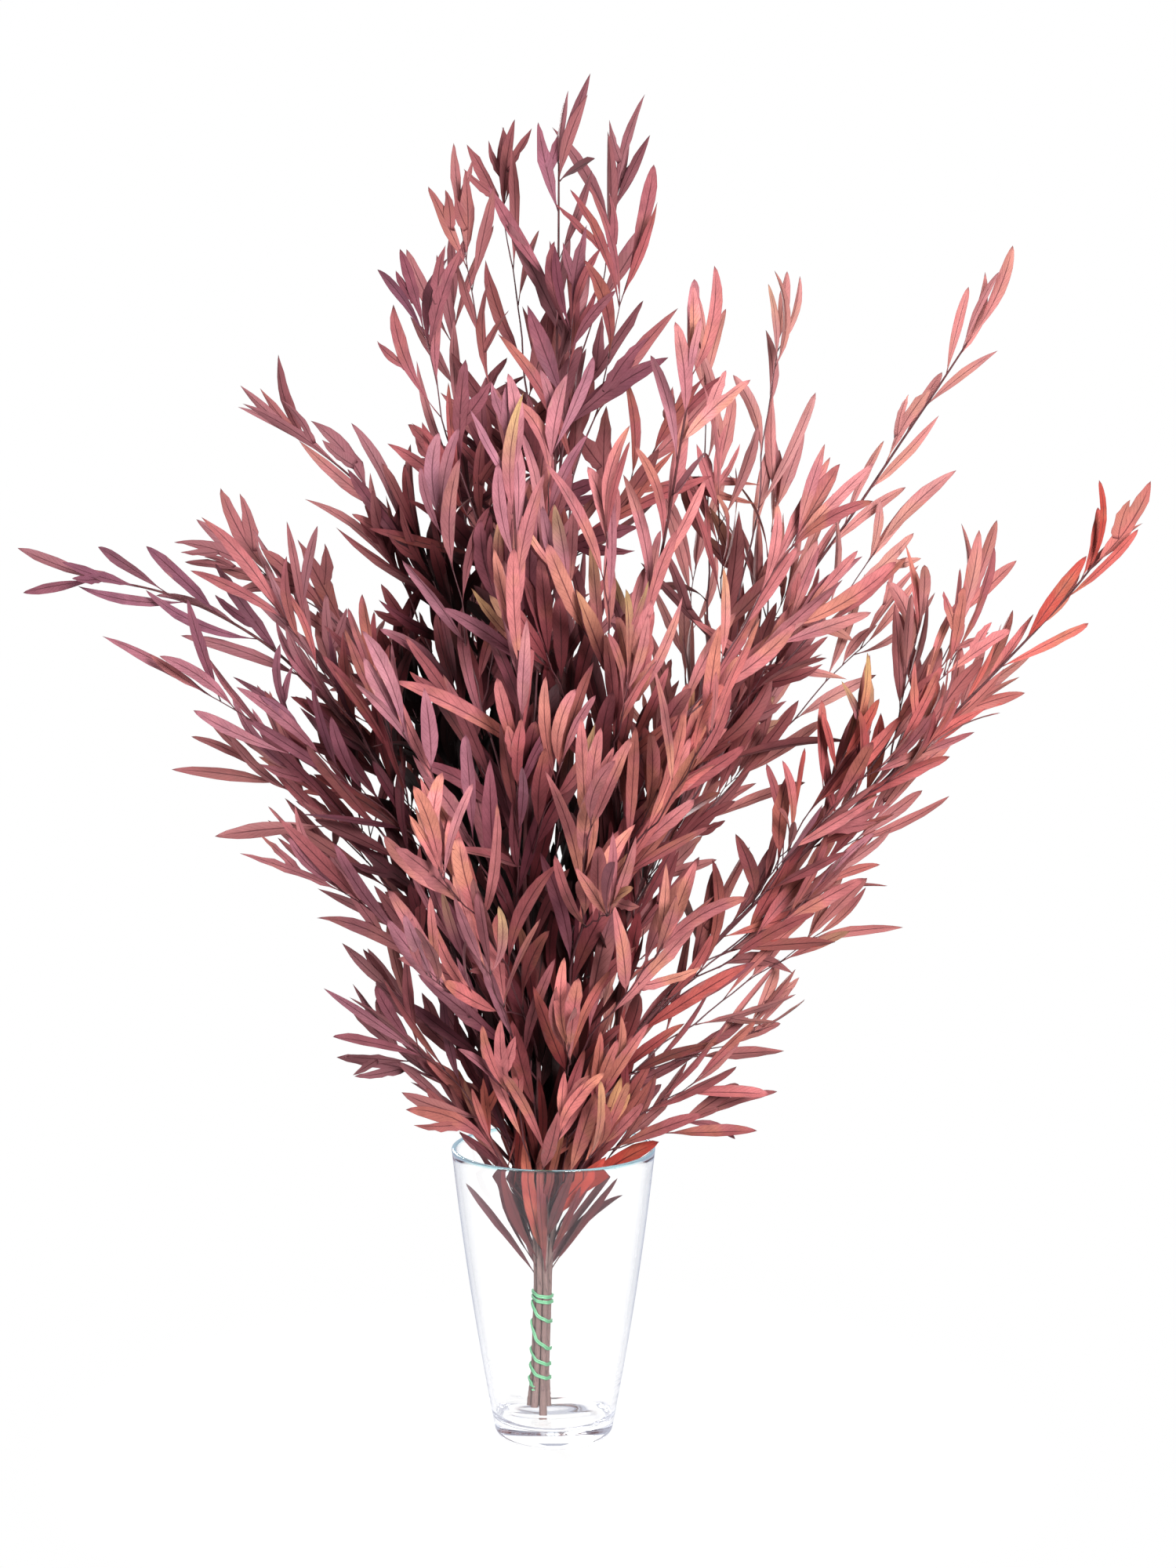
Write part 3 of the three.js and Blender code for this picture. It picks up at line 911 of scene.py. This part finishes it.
class Nodes:
    """A node tree being wired. Most calls add nodes to it and give the last one's output."""

    def __init__(self, tree):
        self.tree = tree

    def add(self, kind, inputs=(), **settings):
        """A new node, its inputs fed by name or number."""
        node = self.tree.nodes.new(kind)
        for name, value in settings.items():
            setattr(node, name, value)
        for key, value in dict(inputs).items():
            self.feed(node.inputs[key], value)
        return node

    def feed(self, socket, value):
        if isinstance(value, bpy.types.NodeSocket):
            self.tree.links.new(value, socket)
        else:
            socket.default_value = value

    def math(self, operation, *values):
        return self.add("ShaderNodeMath", enumerate(values), operation=operation).outputs[0]

    def times(self, a, b):
        return self.math("MULTIPLY", a, b)

    def most(self, a, b):
        return self.math("MAXIMUM", a, b)

    def mark(self, name, output="Fac"):
        return self.add("ShaderNodeAttribute", attribute_name=name).outputs[output]

    def place(self):
        return self.add("ShaderNodeTexCoord").outputs["Object"]

    def height(self):
        """How high a point is, in metres."""
        return self.add("ShaderNodeSeparateXYZ", {0: self.place()}).outputs["Z"]

    def mix(self, share, a, b, blend="MIX"):
        inputs = {"Factor": share, "A": a, "B": b}
        return self.add("ShaderNodeMix", inputs, data_type="RGBA", blend_type=blend).outputs["Result"]

    def noise(self, vector, scale, detail, roughness=0.55):
        inputs = {"Vector": vector, "Scale": scale, "Detail": detail, "Roughness": roughness}
        return self.add("ShaderNodeTexNoise", inputs).outputs["Fac"]

    def fibres(self, run, scale, detail, roughness=0.55):
        """Noise stretched along a rod, whose own run is given."""
        stretched = self.add("ShaderNodeVectorMath", {0: run, 1: scale}, operation="MULTIPLY")
        return self.noise(stretched.outputs[0], 1.0, detail, roughness)

    def between(self, value, low, high, to_low=0.0, to_high=1.0):
        inputs = enumerate((value, low, high, to_low, to_high))
        return self.add("ShaderNodeMapRange", inputs, interpolation_type="SMOOTHSTEP").outputs[0]

    def ramp(self, value, stops):
        node = self.add("ShaderNodeValToRGB", {"Fac": value})
        elements = node.color_ramp.elements
        while len(elements) < len(stops):
            elements.new(0.5)
        for element, (place, colour) in zip(elements, stops.items()):
            element.position = place
            element.color = linear(*colour)
        return node.outputs["Color"]

    def layered(self, colour, *layers):
        """A colour with shades laid over it in turn, each by its own share."""
        for share, shade in layers:
            colour = self.mix(share, colour, linear(*shade))
        return colour

    def group(self, tree, inputs):
        return self.add("ShaderNodeGroup", inputs, node_tree=tree).outputs


COLOUR, VECTOR, NUMBER = "NodeSocketColor", "NodeSocketVector", "NodeSocketFloat"


def new_group(name, inputs, outputs):
    """A node group with named sockets. Gives its tree, the tree's wiring, its inputs and its outputs."""
    group = bpy.data.node_groups.new(name, "ShaderNodeTree")
    for way, sockets in (("INPUT", inputs), ("OUTPUT", outputs)):
        for label, kind in sockets.items():
            group.interface.new_socket(label, in_out=way, socket_type=kind)
    wires = Nodes(group)
    return group, wires, wires.add("NodeGroupInput").outputs, wires.add("NodeGroupOutput").inputs


def uneven_dye_group():
    """Cloudy dye: a colour made lighter and darker in patches, with fine specks."""
    group, wires, given, result = new_group(
        "uneven_dye",
        {"Colour": COLOUR, "Place": VECTOR, "Amount": NUMBER},
        {"Colour": COLOUR, "Cloud": NUMBER},
    )
    broad = wires.noise(given["Place"], 90, 2)
    fine = wires.noise(given["Place"], 1400, 3, 0.7)
    cloud = wires.math("ADD", wires.times(broad, 0.6), wires.times(fine, 0.4))
    swing = wires.times(wires.math("SUBTRACT", cloud, 0.5), given["Amount"])
    bright = wires.math("ADD", swing, 1.0)
    wires.feed(result["Colour"], wires.mix(1.0, given["Colour"], bright, "MULTIPLY"))
    wires.feed(result["Cloud"], cloud)
    return group


def bark_grain_group():
    """Lengthwise grain: fibres that run along the rod, and short cracks."""
    group, wires, given, result = new_group(
        "bark_grain", {"Grain": VECTOR}, {"Fibres": NUMBER, "Cracks": NUMBER}
    )
    wires.feed(result["Fibres"], wires.fibres(given["Grain"], (1.6, 1.6, 0.07), 4, 0.6))
    cracks = wires.fibres(given["Grain"], (0.9, 0.9, 0.22), 3, 0.7)
    wires.feed(result["Cracks"], wires.between(cracks, 0.58, 0.66))
    return group


UNEVEN_DYE = uneven_dye_group()
BARK_GRAIN = bark_grain_group()


def new_material(name):
    material = bpy.data.materials.new(name)
    material.use_nodes = True
    wires = Nodes(material.node_tree)
    return material, wires, material.node_tree.nodes["Principled BSDF"].inputs


def dress(wires, shader, colour, roughness, relief, depth, strength):
    """Gives a shader its colour, its roughness and its relief, whose depth is in metres."""
    wires.feed(shader["Base Color"], colour)
    wires.feed(shader["Roughness"], roughness)
    inputs = {"Height": relief, "Distance": depth, "Strength": strength}
    wires.feed(shader["Normal"], wires.add("ShaderNodeBump", inputs).outputs["Normal"])


def dyed(wires, colour, amount):
    """A colour with uneven dye, and how cloudy the dye is at each place."""
    return wires.group(UNEVEN_DYE, {"Colour": colour, "Place": wires.place(), "Amount": amount})


def let_through(material, wires, share):
    """Lets a share of the light go straight through a material."""
    nodes = material.node_tree.nodes
    clear = wires.add("ShaderNodeBsdfTransparent").outputs[0]
    inputs = {0: share, 1: nodes["Principled BSDF"].outputs[0], 2: clear}
    mixed = wires.add("ShaderNodeMixShader", inputs)
    wires.feed(nodes["Material Output"].inputs["Surface"], mixed.outputs[0])


# A leaf's shade by its warmth, and what is laid over it. Colours are given as a screen shows them.
LEAF_SHADES = {
    0.0: (138, 89, 106),
    0.22: (150, 94, 106),
    0.42: (168, 99, 101),
    0.65: (186, 105, 105),
    0.85: (194, 98, 90),
    1.0: (182, 74, 62),
}
STRAW = (184, 154, 100)
RUSTY_PATCH = (178, 118, 88)
DUSTY_UNDERSIDE = (172, 122, 118)
VEIN = (74, 28, 38)
PLUM_MARGIN = (118, 48, 66)
DARK_END = (86, 34, 44)
BROWN_IN_VASE = (128, 92, 88)
# How much more red, green and blue lose where a leaf is dark, in its dye's tone and in painted shade: the
# painted shade turns redder as it deepens, as light bounced between red leaves would make it.
SHADE_DEPTHS = (1.0, 1.5, 1.35)


def leaf_material():
    """A dyed leaf in its region's colour, with clouds, browned patches, veins and painted shade in shelter.
    """
    material, wires, shader = new_material("preserved_leaf")
    across = wires.math("ABSOLUTE", wires.mark("across"))
    along, warmth = wires.mark("along"), wires.mark("warmth")
    straw = wires.times(wires.mark("yellowing"), wires.between(along, 0.25, 1.0))
    patches = wires.between(wires.noise(wires.place(), 26, 2), 0.48, 0.62, 0.0, 0.5)
    patches = wires.times(patches, wires.between(warmth, 0.25, 0.5, 0.15, 1.0))
    colour = wires.ramp(warmth, LEAF_SHADES)
    colour = wires.layered(colour, (straw, STRAW), (patches, RUSTY_PATCH))
    dye = dyed(wires, colour, 1.5)

    pale_under = wires.times(wires.mark("underside"), 0.45)
    midrib = wires.between(across, 0.03, 0.12, 0.8, 0.0)
    midrib = wires.times(midrib, wires.between(along, 0.75, 1.0, 1.0, 0.1))
    slant = wires.math("SUBTRACT", wires.times(along, 15.0), wires.times(across, 2.2))
    veins = wires.between(wires.math("PINGPONG", slant, 0.5), 0.0, 0.09, 1.0, 0.0)
    veins = wires.times(veins, wires.between(across, 0.75, 1.0, 0.42, 0.0))
    lines = wires.most(midrib, veins)
    margin = wires.between(across, 0.86, 1.0, 0.0, 0.4)
    foot, tip = wires.between(along, 0.02, 0.13, 0.8, 0.0), wires.between(along, 0.94, 1.0, 0.0, 0.7)
    in_vase = wires.between(wires.height(), 0.155, 0.205, 0.65, 0.0)
    in_vase = wires.times(in_vase, wires.between(warmth, 0.4, 0.7, 1.0, 0.0))
    colour = wires.layered(
        dye["Colour"],
        (pale_under, DUSTY_UNDERSIDE),
        (lines, VEIN),
        (margin, PLUM_MARGIN),
        (wires.most(foot, tip), DARK_END),
        (in_vase, BROWN_IN_VASE),
    )
    # Painted shade: the leaf's tone is darkened almost to black where the leaves round it shelter it.
    tone_and_painted_shade = wires.times(wires.mark("tone"), wires.between(wires.mark(SHELTER), 0.62, 0.9, 1.0, 0.02))
    channels = enumerate(wires.math("POWER", tone_and_painted_shade, depth) for depth in SHADE_DEPTHS)
    bright = wires.add("ShaderNodeCombineXYZ", channels).outputs[0]
    roughness = wires.math("MULTIPLY_ADD", dye["Cloud"], 0.25, 0.42)
    relief = wires.math("SUBTRACT", wires.times(dye["Cloud"], 0.6), wires.times(lines, 0.7))
    dress(wires, shader, wires.mix(1.0, colour, bright, "MULTIPLY"), roughness, relief, 0.00025, 0.7)
    shader["Specular IOR Level"].default_value = 0.18
    shader["Sheen Weight"].default_value = 0.07
    shader["Sheen Roughness"].default_value = 0.4
    return material


def twig_material():
    material, wires, shader = new_material("purple_twig_bark")
    fibres = wires.group(BARK_GRAIN, {"Grain": wires.mark("grain", "Vector")})["Fibres"]
    colour = wires.mix(fibres, linear(58, 26, 34), linear(112, 58, 64))
    dye = dyed(wires, colour, 0.7)
    dress(wires, shader, dye["Colour"], wires.math("MULTIPLY_ADD", fibres, 0.3, 0.42), fibres, 0.0003, 0.8)
    return material


def bark_material():
    """Dyed bark: paler and dusty where stems are bare, darker up among the leaves, raw wood at the cut."""
    material, wires, shader = new_material("dyed_stem_bark")
    run = wires.mark("grain", "Vector")
    grain = wires.group(BARK_GRAIN, {"Grain": run})
    bare = wires.mix(grain["Fibres"], linear(84, 62, 62), linear(156, 128, 122))
    dark = wires.mix(grain["Fibres"], linear(48, 22, 28), linear(112, 60, 62))
    colour = wires.mix(wires.between(wires.height(), 0.12, 0.24), bare, dark)
    colour = wires.layered(colour, (wires.times(grain["Cracks"], 0.45), (52, 26, 32)))
    wood = wires.fibres(run, (2.4, 2.4, 0), 2)
    end = wires.mix(wood, linear(150, 104, 96), linear(206, 168, 146))
    colour = wires.mix(wires.mark("cut_end"), colour, end)
    dye = dyed(wires, colour, 0.6)
    roughness = wires.math("MULTIPLY_ADD", grain["Fibres"], 0.25, 0.55)
    relief = wires.math("SUBTRACT", grain["Fibres"], grain["Cracks"])
    dress(wires, shader, dye["Colour"], roughness, relief, 0.0004, 0.9)
    shader["Specular IOR Level"].default_value = 0.3
    return material


def twine_material():
    material, wires, shader = new_material("green_twine")
    fibres = wires.fibres(wires.mark("grain", "Vector"), (3.0, 3.0, 0.5), 3)
    colour = wires.mix(fibres, linear(70, 140, 96), linear(130, 198, 152))
    dye = dyed(wires, colour, 0.35)
    dress(wires, shader, dye["Colour"], wires.math("MULTIPLY_ADD", fibres, 0.25, 0.3), fibres, 0.0002, 0.7)
    return material


def glass_material():
    """Clear glass, pale blue-green at the rim. Lamps shine through it, and light caught in it comes out."""
    material, wires, shader = new_material("clear_glass")
    height = wires.height()
    rim = wires.between(height, 0.184, 0.1865)
    wires.feed(shader["Base Color"], wires.mix(rim, linear(255, 255, 255), linear(160, 220, 226)))
    shader["Roughness"].default_value = 0.0
    shader["Transmission Weight"].default_value = 1.0
    shader["IOR"].default_value = 1.47
    path = wires.add("ShaderNodeLightPath").outputs
    most_mirrorings = wires.between(height, 0.05, 0.07, 7.5, 3.5)
    caught = wires.math("GREATER_THAN", path["Glossy Depth"], most_mirrorings)
    soft = wires.most(path["Is Shadow Ray"], path["Is Diffuse Ray"])
    let_through(material, wires, wires.most(soft, caught))
    return material


LEAF = leaf_material()
TWIG = twig_material()
BARK = bark_material()
TWINE = twine_material()
GLASS = glass_material()


# Vase.

UNDERSIDE_RADII = (0, 4, 8, 12, 16, 20, 24, 28, 31)
FLOOR_RADII = (24, 16, 8, 0)
RIPPLE = 0.11
RIPPLES_START, RIPPLES_END = 36, 50


def quadratic(start, control, end, count):
    t = np.linspace(0, 1, count)[:, None]
    start, control, end = np.array(start, float), np.array(control, float), np.array(end, float)
    return (1 - t) ** 2 * start + 2 * t * (1 - t) * control + t * t * end


def vase_outline():
    """Radius and height pairs from the middle of the underside, up the outside and down the inside."""
    height, heel, wall, rim = VASE["height"], VASE["heel_radius"], VASE["wall"], VASE["rim_radius"]
    rim_edge = height - VASE["rim_round"]
    corner = VASE["corner_radius"]
    corner_z = VASE["floor"] + corner
    corner_r = vase_radius(corner_z) - wall - corner
    outside = np.linspace(VASE["heel_height"], rim_edge, 32)
    inside = np.concatenate([np.linspace(rim_edge, 54, 24), np.linspace(52, corner_z, 44)])
    rim_top = (rim - wall / 2, height)
    turns = np.linspace(0, np.pi / 2, 10)[1:]
    pieces = [
        [(r, VASE["hollow"] * (1 - (r / UNDERSIDE_RADII[-1]) ** 2)) for r in UNDERSIDE_RADII],
        quadratic((VASE["foot_radius"], 0), (heel - 1, 0), (heel, VASE["heel_height"]), 10)[:-1],
        np.stack([vase_radius(outside), outside], axis=1),
        quadratic((vase_radius(rim_edge), rim_edge), (rim, height), rim_top, 6)[1:],
        quadratic(rim_top, (rim - wall, height), (rim - wall, rim_edge), 6)[1:-1],
        np.stack([vase_radius(inside) - wall, inside], axis=1),
        [(corner_r + corner * math.cos(a), corner_z - corner * math.sin(a)) for a in turns],
        [(float(r), VASE["floor"]) for r in FLOOR_RADII],
    ]
    return np.concatenate(pieces)


def wall_ripples(radius, height, turns):
    """Uneven glass low on the inside of the wall, as pressing leaves it. It comes and goes round the vase."""
    floor = VASE["floor"]
    low_wall = smooth_step(RIPPLES_END, RIPPLES_START, height) * smooth_step(floor + 5, floor + 10, height)
    inside = radius < vase_radius(height) - VASE["wall"] / 2
    waves = np.sin(height * 1.3 + 2.2 * np.sin(height * 0.31) + 1.5 * np.sin(turns * 2 + 1))
    return RIPPLE * low_wall * inside * waves * (0.6 + 0.4 * np.sin(3 * turns + 0.6))


def glass_vase(sides=144):
    outline = vase_outline()
    turns = np.arange(sides) * 2 * np.pi / sides
    inner = outline[1:-1]
    height = np.repeat(inner[:, 1:], sides, axis=1)
    radius = inner[:, :1] + wall_ripples(inner[:, :1], height, turns)
    rings = np.stack([radius * np.cos(turns), radius * np.sin(turns), height], axis=-1)
    rows = len(inner)
    faces = tube_faces(rows, sides)
    low, high = rows * sides, rows * sides + 1
    last = (rows - 1) * sides
    for k in range(sides):
        after = (k + 1) % sides
        faces.append((low, after, k))
        faces.append((high, last + k, last + after))
    centres = [(0, 0, outline[0, 1]), (0, 0, outline[-1, 1])]
    parts = Parts()
    parts.add(np.concatenate([rings.reshape(-1, 3), centres]), faces, 0)
    return parts.make("glass_vase", [GLASS])


# Twine: two strands laid side by side, wound round the stems.

TWINE_POINTS = 900
TWINE_SMOOTHING = 15
TWINE_STEP = 0.45


def cord_height(turn):
    """Each turn is level behind the bundle and slopes down across its front."""
    heights = CORD["right_hand_heights"]
    whole = math.floor(turn)
    row = min(max(whole, 0), len(heights) - 2)
    across = np.clip(2 * (turn - whole) - 1, 0, 1)
    return lerp(heights[row], heights[row + 1], whole - row + across * (2 - across))


def twine_line():
    """The middle of the twine, which lies on the outer stems and goes straight from one to the next."""
    points = []
    for turn in np.linspace(CORD["first_turn"], CORD["last_turn"], TWINE_POINTS):
        height = cord_height(turn)
        angle = 2 * np.pi * turn
        outward = np.array([math.cos(angle), math.sin(angle), 0])
        share = share_at(height)
        centres = [place_in_bundle(stem[0], share) for stem in STEMS.values()]
        touched = max(centres, key=lambda centre: np.dot(centre, outward))
        sideways = np.cross(UP, outward)
        radius = stem_radius_in_bundle(share) + CORD["gap"] + CORD["strand_radius"]
        point = outward * (np.dot(touched, outward) + radius) + sideways * np.dot(touched, sideways)
        points.append(point * LEVEL + UP * height)
    ends = [np.repeat([points[k]], TWINE_SMOOTHING, 0) for k in (0, -1)]
    padded = np.concatenate([ends[0], points, ends[1]])
    kernel = np.hanning(2 * TWINE_SMOOTHING + 1)
    kernel /= kernel.sum()
    return np.stack([np.convolve(padded[:, k], kernel, "valid") for k in range(3)], axis=1)


def twine():
    """Two strands side by side, now one and now the other a little further out."""
    line = Line(twine_line())
    count = int(line.length / TWINE_STEP)
    runs = np.linspace(0, line.length, count)
    middle = line.at(runs)
    tangents = unit(np.gradient(middle, axis=0))
    centre = lerp(BUNDLE["foot"], BUNDLE["neck"], share_at(middle[:, 2])[:, None])
    outward = unit((middle - centre) * LEVEL)
    beside = unit(np.cross(tangents, outward))
    sway = (CORD["sway"] * np.sin(2 * np.pi * runs / CORD["sway_length"]))[:, None]
    offset = CORD["strand_offset"]
    parts = Parts()
    for strand in (-1, 1):
        points = middle + beside * np.cos(sway) * strand * offset
        points = points + outward * np.abs(np.sin(sway)) * (0.5 + 0.5 * strand * np.sign(sway)) * offset
        add_rod(parts, points, np.full(count, CORD["strand_radius"]), 8, 0)
    return parts.make("twine", [TWINE])


# The bunch: bare stems first, then their own leaves, then the sprays.


def own_rng(name):
    """The same random draws for a piece in every run, whatever the other pieces do."""
    return np.random.default_rng([ord(letter) for letter in name])


# Each stem's foliage, in these columns: how full it is, where 1 is a leaf every LEAF_SPACING millimetres, the
# share of forked leaves, a leaf's usual length and width, how far it opens, how bright its leaves are, which
# is the dye's tone and also painted light, the back right made lighter as if lit through, how far short of a
# spray's end its twig stops, so that only leaves reach on, and the share of yellowing leaves.
FOLIAGE_COLUMNS = ("full", "forked", "length", "width", "open", "tone", "short", "yellow")
FOLIAGE_ROWS = {
    "centre": (0.34, 0.38, 88, 10.4, 1.6, 0.66, 8, 0.0),
    "right": (0.45, 0.12, 76, 9.2, 1.0, 0.91, 28, 0.02),
    "back_right": (0.36, 0.2, 80, 9.2, 1.15, 1.08, 18, 0.06),
    "back_left": (0.5, 0.28, 82, 9.4, 1.0, 0.78, 30, 0.02),
    "left": (0.52, 0.22, 80, 9.2, 1.0, 0.85, 28, 0.01),
    "front_left": (0.5, 0.06, 80, 9.8, 0.9, 1.11, 22, 0.04),
    "front_right": (0.48, 0.06, 78, 9.6, 0.9, 1.06, 22, 0.06),
}
FOLIAGE = {where: dict(zip(FOLIAGE_COLUMNS, row)) for where, row in FOLIAGE_ROWS.items()}
LEAF_SPACING = 11.5
TWIG_SPACING = 40


def look_of(where, rng):
    """What the leaves of one spray have in common."""
    look = dict(FOLIAGE[where])
    look["tone"] *= rng.normal(1, 0.05)
    look["warmth"] = rng.normal(0.45, 0.08)
    return look


def mesh_points(mesh):
    points = np.zeros(len(mesh.vertices) * 3, np.float32)
    mesh.vertices.foreach_get("co", points)
    return points.reshape(-1, 3)


def finish_piece(piece, slot, *nodes):
    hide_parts(*nodes)
    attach(piece, "root")


def stem_pieces(where):
    rng = own_rng("stem_" + where)
    line, radii = stem_line(where, rng)
    full = FOLIAGE[where]["full"]
    parts = Parts()
    add_rod(parts, line.points, with_nodes(line.runs, radii, 34, 0.1, rng), 14, 0, ribs=0.03, cut=True)
    finish_piece(parts.make("bark_" + where, [BARK]), "bark", "stem_" + where)

    leaves = Parts()
    look = look_of(where, rng)
    low_leaves(leaves, line, line.run_at_height(BUNDLE["neck"][2] + 3), line.length * 0.4, look, rng)
    nodes = growth_nodes(line, line.length * 0.42, LEAF_SPACING / full, rng)
    leafy(leaves, line, nodes, 1.0, look, rng)
    side_twigs(leaves, line, line.length * 0.35, line.length * 0.7, TWIG_SPACING / full, look, rng)
    finish_piece(leaves.make("leader_" + where, [LEAF, TWIG]), "leaf", "stem_" + where)
    return line


def outward_turn(line, run):
    """The turn round a stem at which a leaf points away from the bundle."""
    tangent = line.heading(run)
    outward = (line.at(run) - BUNDLE["neck"]) * LEVEL
    across, above = sideways_of(tangent, 0), sideways_of(tangent, np.pi / 2)
    return math.atan2(np.dot(outward, above), np.dot(outward, across))


# Leaves in the vase are narrow and dark, and some of them broad and coral.
IN_VASE_SHARE = 0.3
IN_VASE_WIDTH = 6.4
CORAL_SHARE = 0.2
CORAL_LOOK = {"tone": 0.92, "width": 11}
CORAL_WARMTH = 0.6


def low_leaves(parts, line, first, last, look, rng):
    """Leaves low on a stem. In the vase they spread and fill its mouth, and above it they stand steeper."""
    turn = rng.uniform(0, 2 * np.pi)
    run = first + rng.uniform(0, 6)
    while run < last:
        in_vase = float(smooth_step(205, 165, line.at(run)[2]))
        opening = rng.uniform(lerp(0.18, 0.3, in_vase), lerp(0.45, 0.85, in_vase))
        own_look = darkened_towards_foot(look, 0.3)
        if in_vase > IN_VASE_SHARE:
            turn = outward_turn(line, run) + rng.uniform(-1.1, 1.1)
            own_look.update(tone=rng.uniform(0.4, 0.6), width=IN_VASE_WIDTH, forked=0)
            if rng.random() < CORAL_SHARE:
                own_look.update(CORAL_LOOK, warmth=own_look["warmth"] + CORAL_WARMTH)
        place_leaf(parts, line, run, turn, opening, 1, own_look, rng)
        turn += GOLDEN_ANGLE
        run += lerp(15, 9.5, in_vase) * rng.uniform(0.7, 1.3)


def spray(where, number, stem):
    name = f"{where}_{number + 1}"
    rng = own_rng("spray_" + name)
    line = shoot_line(stem, SHOOTS[where][number], rng)
    line = Line(line.at(np.linspace(0, line.length - FOLIAGE[where]["short"], SHOOT_ROWS)))
    full = FOLIAGE[where]["full"]
    look = look_of(where, rng)
    first = min(45, line.length * 0.12)
    nodes = growth_nodes(line, first, LEAF_SPACING / full, rng)
    line = kinked(line, nodes, 1.2)
    parts = Parts()
    foot = 1.2 * np.clip(line.length / 330, 0.6, 1)
    add_twig(parts, line, nodes, foot, 0.32, rng, 7)
    leafy(parts, line, nodes, 1.0, look, rng)
    side_twigs(parts, line, first + 20, line.length * 0.55, TWIG_SPACING / full, look, rng)
    finish_piece(parts.make("spray_" + name, [LEAF, TWIG]), "leaf", "shoot_" + name)


finish_piece(glass_vase(), "glass", "vase")
finish_piece(twine(), "cord", "tie_cord")
stems = {where: stem_pieces(where) for where in STEMS}
for where, stem in stems.items():
    for number in range(len(SHOOTS[where])):
        spray(where, number, stem)

# How sheltered each leaf point is; the leaf material turns this into painted shade.
shelter = Shelter(np.array([point for cell in crowd.cells.values() for point in cell]))
for piece in bpy.context.scene.objects:
    if piece.name.startswith(("leader_", "spray_")):
        shade = shelter.at(mesh_points(piece.data) / MM).astype(np.float32)
        piece.data.attributes.new(SHELTER, "FLOAT", "POINT").data.foreach_set("value", shade)


# Stage: a pale floor that fades into a white surround, and soft lamps.

FLOOR_SIDES = 96
FLOOR_WIDTH = 6
JUST_BELOW = -0.0005


def pale_floor():
    mesh = bpy.data.meshes.new("floor")
    turns = np.arange(FLOOR_SIDES) * 2 * np.pi / FLOOR_SIDES
    radius = FLOOR_WIDTH / 2
    edge = [(radius * math.cos(a), radius * math.sin(a), JUST_BELOW) for a in turns]
    mesh.from_pydata(edge, [], [tuple(range(FLOOR_SIDES))])
    floor = bpy.data.objects.new("floor", mesh)
    bpy.context.scene.collection.objects.link(floor)
    material, wires, shader = new_material("pale_floor")
    away = wires.add("ShaderNodeVectorMath", {0: wires.place()}, operation="LENGTH").outputs["Value"]
    fade = wires.between(away, 0.06, 0.34, 0.68, 1.0)
    lighting = wires.add("ShaderNodeLightPath").outputs["Is Diffuse Ray"]
    shader["Base Color"].default_value = (0.93, 0.93, 0.93, 1)
    shader["Roughness"].default_value = 0.7
    shader["Specular IOR Level"].default_value = 0.1
    let_through(material, wires, wires.most(fade, wires.times(lighting, 0.8)))
    mesh.materials.append(material)


# The surround's colour: as it lights leaves, as it shows through the glass, mirrored by the glass's outside,
# and mirrored twice or more in the glass.
FOR_LEAVES = (0.23, 0.23, 0.23, 1)
THROUGH_GLASS = (1.1, 1.1, 1.1, 1)
MIRRORED_OUTSIDE = (0.42, 0.46, 0.58, 1)
MIRRORED_TWICE = (0.2, 0.23, 0.36, 1)
MIRRORED_MORE = (0.48, 0.5, 0.6, 1)


def white_surround():
    """White behind the bunch and through the glass, and dimmer where it lights leaves or glints on glass."""
    world = bpy.data.worlds.new("white_surround")
    bpy.context.scene.world = world
    world.use_nodes = True
    wires = Nodes(world.node_tree)
    path = wires.add("ShaderNodeLightPath").outputs
    mirrorings = path["Glossy Depth"]
    in_glass = wires.mix(wires.math("GREATER_THAN", mirrorings, 1.5), THROUGH_GLASS, MIRRORED_TWICE)
    in_glass = wires.mix(wires.math("GREATER_THAN", mirrorings, 2.5), in_glass, MIRRORED_MORE)
    uncrossed = wires.math("LESS_THAN", path["Transmission Depth"], 0.5)
    off_the_outside = wires.times(wires.math("GREATER_THAN", mirrorings, 0.5), uncrossed)
    in_glass = wires.mix(off_the_outside, in_glass, MIRRORED_OUTSIDE)
    colour = wires.mix(path["Is Singular Ray"], FOR_LEAVES, in_glass)
    colour = wires.mix(path["Is Camera Ray"], colour, (1, 1, 1, 1))
    wires.feed(world.node_tree.nodes["Background"].inputs["Color"], colour)


# Each soft lamp: its place and its width in metres, and its power in watts.
LAMPS = {
    "key_lamp": ((0.9, -2.2, 1.15), 0.8, 98),
    "fill_lamp": ((-1.8, -1.5, 0.6), 0.9, 31),
    "top_lamp": ((-0.2, 0.2, 2.3), 0.8, 8),
    "back_lamp": ((-0.9, 2.3, 1.2), 0.9, 60),
}
LAMP_TARGET = (0, 0, 0.45)


def soft_lamps():
    for name, (place, width, watts) in LAMPS.items():
        lamp = bpy.data.lights.new(name, "AREA")
        lamp.size = width
        lamp.energy = watts
        set_up(name, lamp, place, LAMP_TARGET)


pale_floor()
white_surround()
soft_lamps()

bpy.context.scene.view_settings.view_transform = "Standard"
cycles = bpy.context.scene.cycles
cycles.diffuse_bounces = 2
cycles.transmission_bounces = cycles.glossy_bounces = cycles.max_bounces = 24
